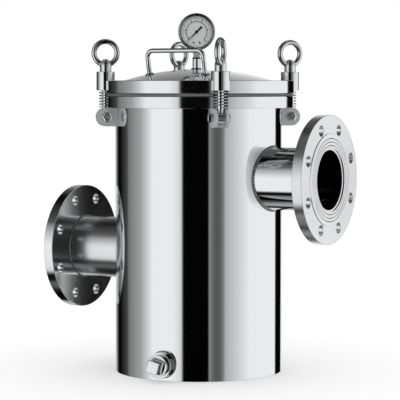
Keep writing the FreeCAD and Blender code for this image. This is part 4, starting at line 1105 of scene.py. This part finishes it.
# %% Forks
PIN_HEIGHT = 445.0
FORK_HALF = 12.0
FORK_GAP = 7.5
FORK_END = 16.0
FORK_ROOT = -40
FORK_WEB = 5
FORK_STEPS = 32
PIN_HOLE = 5.0
STATIONS = []
for number in range(STATION_COUNT):
    radial = Vector((math.cos(station_turn(number)), math.sin(station_turn(number)), 0))
    pin = radial * BOLT_CIRCLE + Vector((0, 0, PIN_HEIGHT))
    STATIONS.append((number + 1, axes(pin, (0, 0, 1), radial)))
SIDEWAYS = axes((0, 0, 0), (0, 1, 0), (1, 0, 0))
# The outline is drawn in X and Z, so the fork is stretched along Y
UPRIGHT = Matrix(((1, 0, 0, 0), (0, 0, -1, 0), (0, 1, 0, 0), (0, 0, 0, 1)))


def fork_mesh():
    """Round-ended side outline of the fork, stretched across its width."""
    outline = [(FORK_ROOT, -FORK_END), (0, -FORK_END)]
    for step in range(1, FORK_STEPS):
        turn = -math.pi / 2 + math.pi * step / FORK_STEPS
        outline.append((FORK_END * math.cos(turn), FORK_END * math.sin(turn)))
    outline += [(0, FORK_END), (FORK_ROOT, FORK_END)]
    return prism(outline, -FORK_HALF, FORK_HALF)


def block_tool(low, high):
    """Box between two corners."""
    outline = [(low[0], low[1]), (high[0], low[1]), (high[0], high[1]), (low[0], high[1])]
    return prism(outline, low[2], high[2])


for number, place in STATIONS:
    fork = plain_object(f"fork_{number}", fork_mesh(), place @ UPRIGHT)
    slot_start = SHELL_RADIUS + FORK_WEB - BOLT_CIRCLE
    carve(fork, [(block_tool((slot_start, -FORK_GAP, -20), (30, FORK_GAP, 20)), place),
                 (cylinder(PIN_HOLE, -20, 20, 48), place @ SIDEWAYS),
                 (cylinder(SHELL_RADIUS, 400, 500, SHELL_STEPS), Matrix())])
    smooth(fork, bevel=0.7)
    dress(fork, "vessel", "polished_steel", SATIN_PLATE, f"bolt_bracket_{number}")
print("forks:", len(STATIONS))

# %% [markdown]
# A pin goes through each fork: a hexagon head at one side, a washer and a nut at the other, with the
# pin's chamfered end just past it. A lathe with six steps gives a hexagon. Its faces are shaded flat,
# because a hexagon with smooth faces looks like a ball.

# %% Pins and washers
PIN_RADIUS = 4.98
HEXAGON = 6
HEXAGON_SHADING = 12
PIN_SHANK = ((0, -12.5), (PIN_RADIUS, -12.5), (PIN_RADIUS, 14.1), (3.5, 14.1), (3.5, 16.9, 0.6), (0, 17.2))
PIN_HEAD = ((0, -17), (6.2, -17), (8.4, -15.8), (8.4, -12.02), (0, -12.02))
PIN_NUT = ((4.4, 14.02), (8.4, 14.02), (8.4, 15.6), (6.9, 16.4), (5.3, 16.4), (4.4, 15.2))
PIN_WASHER = ((5.0, 12.02), (8.5, 12.02), (8.5, 14.0), (5.0, 14.0))


def at_each_pin(*shapes):
    """One mesh with turned shapes, given as outline, rounding and steps, at every pin."""
    return merged([(lathe(*shape), place @ SIDEWAYS) for number, place in STATIONS for shape in shapes])


for name, node, shapes in (
        ("pin_set", "hinge_pins", ((PIN_SHANK, 0, 64), (PIN_HEAD, 0, HEXAGON), (PIN_NUT, 0, HEXAGON))),
        ("washer_set", "pin_washers", ((PIN_WASHER, 0.4, 64),))):
    item = plain_object(name, at_each_pin(*shapes))
    smooth(item, HEXAGON_SHADING)
    dress(item, "vessel", "turned_steel", TURNED_FINE, node)
print("pins of", 2 * PIN_RADIUS, "mm in holes of", 2 * PIN_HOLE, "mm")

# %% [markdown]
# Each station carries the same four pieces on its pin, so one of each is modelled and copied to the four
# places. The eye bolt is forged, and its thread is cut from inside the sleeve up to the tip. The spring
# is a coil of round wire that lifts the sleeve off the lid when the nut is slack. It is swept along a
# helix, because a pattern on a tube would not show the gaps.

# %% Swing bolts and springs
EYE_RADIUS = 10
EYE_HALF = 7
EYE_BORE = 5.05
WIRE = 1.1
COIL = 10.6
COIL_LOW, COIL_HIGH = 17.4, 61.9
COIL_TURNS = 9
COIL_STEPS = 36


def bolt_piece():
    """Eye bolt, in the station's own frame."""
    eye = lathe(((0, -EYE_HALF), (EYE_RADIUS, -EYE_HALF), (EYE_RADIUS, EYE_HALF), (0, EYE_HALF)), 0.9, 96)
    item = plain_object("bolt", eye, SIDEWAYS)
    carve(item, [(thread(6.0, 1.75, 3, 100, 56, 0.95, tip=2.2), Matrix())], "UNION")
    carve(item, [(cylinder(EYE_BORE, -20, 20, 64), SIDEWAYS)])
    item.data.transform(item.matrix_world)
    item.matrix_world = Matrix()
    smooth(item, 40)
    return item


def spring_piece():
    """Coil of round wire between the fork and the sleeve."""
    points = []
    count = COIL_TURNS * COIL_STEPS
    for step in range(count + 1):
        turn = round_step(step, COIL_STEPS)
        points.append(Vector((COIL * math.cos(turn), COIL * math.sin(turn),
                              COIL_LOW + (COIL_HIGH - COIL_LOW) * step / count)))
    item = plain_object("spring", sweep_tube(points, WIRE, 12))
    smooth(item, 60)
    return item


def spread(model, label, body, slot, material, node, turns=(0, 0, 0, 0)):
    """Set copies of one piece at the four stations, each turned by some degrees."""
    for (number, place), degrees in zip(STATIONS, turns):
        item = bpy.data.objects.new(f"{label}_{number}", model.data.copy())
        bpy.context.scene.collection.objects.link(item)
        item.matrix_world = in_metres(place @ Matrix.Rotation(math.radians(degrees), 4, "Z"))
        dress(item, f"{body}_{number}", slot, material, f"{node}_{number}")
    bpy.data.objects.remove(model)


spread(bolt_piece(), "eye_bolt", "bolt", "turned_steel", TURNED_FINE, "swing_bolt")
spread(spring_piece(), "coil", "bolt", "spring_steel", SPRING_WIRE, "spring")
print("springs of", COIL_TURNS, "turns at", len(STATIONS), "stations")

# %% [markdown]
# The sleeve is turned and then cut away where it rests on the lid. The ring nut on top is cast: barrel and
# ring run into each other with a soft fillet. A boolean leaves a hard crease there, so the joined mesh is
# remeshed finely and relaxed, and only then faced and bored. Each nut is turned as it was left.

# %% Sleeves and ring nuts
SLEEVE_LOW, SLEEVE_SEAT, NUT_SEAT = 46, 63.3, 78.3
SLEEVE_BORE, SLEEVE_RADIUS = 6.3, 16
RING_RADIUS, RING_SECTION, RING_MIDDLE = 20, 4.6, 110.3
RING_STEPS = 128
RING_TURNS = (14, -53, -13, -30)
LID_SEAT = LID_RADIUS + 0.3


def sleeve_piece():
    """Turned sleeve, cut away where it rests on the lid."""
    item = plain_object("sleeve", lathe((
        (SLEEVE_BORE, SLEEVE_SEAT), (12.0, SLEEVE_SEAT, 0), (12.0, SLEEVE_LOW),
        (SLEEVE_RADIUS, SLEEVE_LOW, 0.6), (SLEEVE_RADIUS, NUT_SEAT, 1.0), (SLEEVE_BORE, NUT_SEAT, 0.6)),
        0.3, 96))
    carve(item, [(cylinder(LID_SEAT, 0, SLEEVE_SEAT, SHELL_STEPS),
                  Matrix.Translation((-BOLT_CIRCLE, 0, 0)))])
    smooth(item, bevel=0.35)
    return item


def nut_piece():
    """Cast ring nut: joined, remeshed, relaxed, then faced and bored."""
    item = plain_object("nut", lathe(((0, 76), (10, 76), (10, 90.5, 3), (7.9, 97), (0, 97)), 0.5, 96))
    points = [Vector((point.x, 0, RING_MIDDLE + point.y))
              for point in circle_points(RING_RADIUS, 0, RING_STEPS)]
    carve(item, [(sweep_tube(points, RING_SECTION, 32, True), Matrix())], "UNION")
    remesh = item.modifiers.new("cast", "REMESH")
    remesh.mode = "VOXEL"
    remesh.voxel_size = 0.62 * MM
    relax = item.modifiers.new("fillet", "SMOOTH")
    relax.factor = 0.5
    relax.iterations = 9
    settle(item)
    carve(item, [(block_tool((-20, -20, 60), (20, 20, NUT_SEAT)), Matrix()),
                 (cylinder(6.1, 60, 104, 64), Matrix())])
    shade(item, 38)
    return item


spread(sleeve_piece(), "sleeve", "clamp", "polished_steel", MIRROR_BAR, "clamp_sleeve")
spread(nut_piece(), "ring_nut", "nut", "polished_steel", CAST_POLISHED, "eye_nut", RING_TURNS)
print("ring nuts turned by", RING_TURNS, "degrees")

# %% [markdown]
# The pressure gauge is a pressed case with a rolled bezel and a flat window. A stack of plain discs would
# give its size, but the bezel's rolled lip is what catches the light. So each outline follows the real
# section and is spun round the dial's own axis. The case stands upright on its shank, turned 30 degrees
# from the vessel's front.

# %% Gauge case, bezel and window
CASE = 31.0
CASE_WALL = 1.2
SHANK_LENGTH = 13.5
SHANK_HALF = 6
SEAL = 2
SOCKET_RISE = 18
HUB_HEIGHT = LID_HIGH.z + DOME_RISE + SOCKET_RISE + SEAL + SHANK_LENGTH + CASE
GAUGE_TURN = math.radians(30)
NORMAL = Vector((math.sin(GAUGE_TURN), -math.cos(GAUGE_TURN), 0))
ACROSS = Vector((math.cos(GAUGE_TURN), math.sin(GAUGE_TURN), 0))
HUB = GAUGE_FOOT.translation + Vector((0, 0, HUB_HEIGHT))
GAUGE = axes(HUB, NORMAL, ACROSS)
STEM = axes(HUB, (0, 0, 1), ACROSS)
DIAL_BACK, DIAL_FRONT = 4.2, 5.0
turned("gauge_case_shell", ((0, -14), (CASE, -14, 3.2), (CASE, 9), (CASE - CASE_WALL, 9),
                            (CASE - CASE_WALL, -12.8, 2.4), (0, -12.8)),
       "lid", "polished_steel", MIRROR, ["gauge_case"], GAUGE, 0.3, 160,
       cutters=[(block_tool((-SHANK_HALF, -SHANK_HALF, -40), (SHANK_HALF, SHANK_HALF, -20)), STEM)])
turned("gauge_bezel_ring", ((CASE, 6.3), (32.2, 6.3, 0.5), (32.2, 15.5, 1.9), (30.2, 15.5, 1.0),
                            (26.8, 11.9, 0.5), (26.8, 11.02, 0.2), (CASE, 11.02)),
       "lid", "polished_steel", MIRROR, ["gauge_bezel"], GAUGE, 0.3, 192)
turned("gauge_window", ((0, 9.02), (CASE - 0.05, 9.02), (CASE - 0.05, 10.98), (0, 10.98)),
       "lid", "window", GLASS, ["gauge_glass"], GAUGE, 0.2, 128)
turned("gauge_dial_plate", ((0.0, DIAL_BACK), (29, DIAL_BACK), (29, DIAL_FRONT), (0.0, DIAL_FRONT)),
       "lid", "dial_white", DIAL_ENAMEL, ["gauge_dial"], GAUGE, 0.15, 128,
       cutters=[(cylinder(2.0, 0, 8, 48), GAUGE)])
print("gauge hub at", round(HUB_HEIGHT, 1), "mm")

# %% [markdown]
# The dial has a printed scale of a black arc with 51 marks and plain numbers. Print could be painted by a
# shader, but at this size its edges would blur. It is modelled as very thin plates, so that it stays
# sharp close up.

# %% Dial print
PRINT = 0.08
SCALE_RADIUS = 17.8
SCALE_HALF = 0.45
START_ANGLE = math.radians(225)
SCALE_SWEEP = math.radians(270)
DIVISIONS = 50
# Each kind of mark: every how many divisions, its outer end and its width
MARKS = ((10, 21.0, 0.7), (5, 20.0, 0.26), (1, 19.2, 0.16))
NUMBER_STEPS = 5
NUMBER_RADIUS = 23.6
NUMBER_SIZE = 4.0


def arc_plate(inner, outer, start, end, steps):
    """Thin flat piece of a ring, standing on the dial."""
    turns = [start + (end - start) * step / steps for step in range(steps + 1)]
    outline = [(outer * math.cos(turn), outer * math.sin(turn)) for turn in turns]
    outline += [(inner * math.cos(turn), inner * math.sin(turn)) for turn in reversed(turns)]
    return prism(outline, DIAL_FRONT, DIAL_FRONT + PRINT)


def dial_number(text, angle):
    """Number printed on the dial, upright and centred on its mark."""
    curve = bpy.data.curves.new("number", "FONT")
    curve.body = text
    curve.align_x = "CENTER"
    curve.align_y = "CENTER"
    curve.size = NUMBER_SIZE * MM
    curve.extrude = PRINT / 2 * MM
    item = bpy.data.objects.new("number", curve)
    bpy.context.scene.collection.objects.link(item)
    bpy.context.view_layer.update()
    data = bpy.data.meshes.new_from_object(item.evaluated_get(bpy.context.evaluated_depsgraph_get()))
    bpy.data.objects.remove(item)
    middle = Vector((NUMBER_RADIUS * math.cos(angle), NUMBER_RADIUS * math.sin(angle),
                     DIAL_FRONT + PRINT / 2))
    data.transform(Matrix.Translation(middle * MM))
    return data


def printed(name, mesh):
    item = plain_object(name, mesh, GAUGE)
    item.data.shade_flat()
    dress(item, "lid", "pointer_black", BLACK_ENAMEL)


marks = [(arc_plate(SCALE_RADIUS - SCALE_HALF, SCALE_RADIUS + SCALE_HALF, START_ANGLE - SCALE_SWEEP,
                    START_ANGLE, 160), Matrix())]
for number in range(DIVISIONS + 1):
    turn = START_ANGLE - SCALE_SWEEP * number / DIVISIONS
    end, width = next((end, width) for every, end, width in MARKS if number % every == 0)
    marks.append((arc_plate(SCALE_RADIUS + 0.2, end, turn - width / 20, turn + width / 20, 2), Matrix()))
printed("dial_scale", merged(marks))
numbers = bmesh.new()
for number in range(NUMBER_STEPS + 1):
    numbers.from_mesh(dial_number(str(2 * number), START_ANGLE - SCALE_SWEEP * number / NUMBER_STEPS))
numbers.transform(Matrix.Scale(1 / MM, 4))
printed("dial_numbers", numbers)
print("scale marks:", DIVISIONS + 1)

# %% [markdown]
# The pointer is stamped from thin sheet, wider behind its hub to balance it, and rests at the scale's
# zero. Two slotted screws hold the dial. Both are small, but they are what shows that the gauge is real
# close up, so they get their bevels and slots.

# %% Pointer and dial screws
POINTER = GAUGE @ Matrix.Rotation(START_ANGLE, 4, "Z")
# Distance from the hub and half width, from the tip to the tail
NEEDLE = ((20.5, 0.5), (0, 1.1), (-6, 1.4), (-13, 1.8))
needle = plain_object("pointer_needle", prism(
    [*NEEDLE, *((x, -half) for x, half in reversed(NEEDLE))], 6.6, 7.2), POINTER)
smooth(needle, bevel=0.12)
hub = lathe(((0, 6.6), (2.5, 6.6), (2.5, 7.5, 0.5), (1.2, 7.8, 0.3), (0, 7.8)), 0.2, 64)
carve(needle, [(hub, GAUGE)], "UNION")
smooth(needle)
dress(needle, "pointer", "pointer_black", BLACK_ENAMEL, "gauge_pointer")


def screw_mesh():
    """Slotted screw that stands on the dial and reaches through it."""
    item = plain_object("screw", lathe(((0, 0.3), (0.82, 0.3), (0.82, DIAL_FRONT, 0), (1.7, DIAL_FRONT),
                                        (1.7, DIAL_FRONT + 0.8, 0.35), (0, DIAL_FRONT + 0.8)), 0.1, 48))
    carve(item, [(block_tool((-3, -0.22, DIAL_FRONT + 0.45), (3, 0.22, DIAL_FRONT + 2)), Matrix())])
    return taken_mesh(item)


screws = [(screw_mesh(), Matrix.Translation((x, -18.3, 0)) @ Matrix.Rotation(math.radians(turn), 4, "Z"))
          for x, turn in ((-5.2, 35), (5.2, -20))]
screw_pair = plain_object("dial_screw_pair", merged(screws), GAUGE)
smooth(screw_pair)
dress(screw_pair, "lid", "polished_steel", TURNED_FINE, "dial_screws")
print("pointer and", len(screws), "screws on the dial")

# %% [markdown]
# Under the case the gauge has a square shank for the wrench, which goes on inside the case as the block
# that holds the movement, and below as a thread. It is one piece of metal: blocks that only touch would
# do from outside, but joined by a boolean they leave no faces inside. A black sealing ring lies under the
# shank, on a socket tube that goes through the dome and is welded to it.

# %% Shank, seal and socket
SHANK_LOW = -CASE - SHANK_LENGTH
SOCKET_RADIUS = 7.0
shank = plain_object("shank_block", block_tool((-SHANK_HALF, -SHANK_HALF, SHANK_LOW),
                                               (SHANK_HALF, SHANK_HALF, -CASE + 0.5)), STEM)
smooth(shank, bevel=0.9, segments=3)
carve(shank, [(block_tool((-SHANK_HALF, -4.2, -CASE - 1), (SHANK_HALF, SHANK_HALF, -15.5)), STEM),
              (thread(4.95, 1.5, SHANK_LOW - 14, SHANK_LOW + 1, SHANK_LOW - 14, 0.8), STEM)], "UNION")
smooth(shank)
dress(shank, "lid", "polished_steel", SATIN_PLATE, "gauge_stem")
turned("gauge_seal_ring", ((SOCKET_BORE, SHANK_LOW - SEAL), (7.5, SHANK_LOW - SEAL), (7.5, SHANK_LOW),
                           (SOCKET_BORE, SHANK_LOW)),
       "lid", "washer_rubber", RUBBER, ["gauge_seal"], STEM, 0.5, 96)
socket_top = span("gauge_socket")[1].z
socket = plain_object("gauge_socket_tube", lathe((
    (SOCKET_BORE, 515), (SOCKET_RADIUS, 515), (SOCKET_RADIUS, socket_top, 0.6),
    (SOCKET_BORE, socket_top, 0.5)), 0.3, 96), GAUGE_FOOT)
smooth(socket)
dress(socket, "lid", "turned_steel", TURNED_FINE, "gauge_socket")
socket_bead = circle_points(SOCKET_RADIUS + 0.9, dome_height(GAUGE_BACK) + 0.6, 72)
dressed_bead("socket_weld_bead", bead(socket_bead, 1.2, 0.4, 14), "lid", matrix=GAUGE_FOOT)
print("socket from dome to", round(socket_top, 1), "mm")

# %% [markdown]
# The hair basket hangs by its rim on a ring inside the vessel. Its rim is a turned ring, and its bail a
# bent wire that folds flat. They are seen when the lid is off. The wire is swept like the handle, with a
# tight bend at each ear and a wide one at each corner of the grip.

# %% Basket rim and bail
RIM_INSIDE = 116.5
BAIL_WIRE = 3.0
BAIL_ARM = 110.0
EAR_BEND = 3.2
GRIP_BEND = 70.0
rim_low, rim_high = span("basket_rim")
turned("basket_rim_ring", ((RIM_INSIDE, rim_low.z), (rim_high.x, rim_low.z), (rim_high.x, rim_high.z),
                           (RIM_INSIDE, rim_high.z)),
       "basket", "basket_steel", BASKET_SHEET, ["basket_rim"], edge=0.8, steps=192)
bail_low, bail_high = span("basket_bail")
grip = BAIL_WIRE - abs(bail_low.y)
bail_route = [Vector((x, y, 0)) for x, y in (
    (-bail_high.x, 0), (-BAIL_ARM, 0), (-BAIL_ARM, grip), (BAIL_ARM, grip), (BAIL_ARM, 0),
    (bail_high.x, 0))]
bail_path = (bent_path(bail_route[:3], EAR_BEND, 0.6)[:-1]
             + bent_path(bail_route[1:5], GRIP_BEND, 1.6)[1:-1]
             + bent_path(bail_route[3:], EAR_BEND, 0.6)[1:])
bail = plain_object("bail_wire", sweep_tube(bail_path, BAIL_WIRE, 24),
                    axes((0, 0, middle_height("basket_bail"))))
smooth(bail)
dress(bail, "bail", "basket_steel", BASKET_SHEET, "basket_bail")
print("pieces made:", len(PIECES))

# %% [markdown]
# The basket's slotted wall, the ring that it hangs on and the gauge's movement have the right shape in the
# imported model. They keep their meshes and only get their finishes.

# %% Nodes that keep their shape
KEPT_NODES = {
    "seat_ring": TURNED, "basket_wall": BASKET_SHEET, "basket_floor": BASKET_SHEET,
    "bail_lugs": BASKET_SHEET, "bourdon_tube": BRASS, "movement_plate": BRASS, "gear_sector": BRASS,
    "pinion_shaft": BRASS,
}
for node, material in KEPT_NODES.items():
    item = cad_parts[node]
    item.data.materials.clear()
    item.data.materials.append(material)
print("nodes kept:", len(KEPT_NODES))
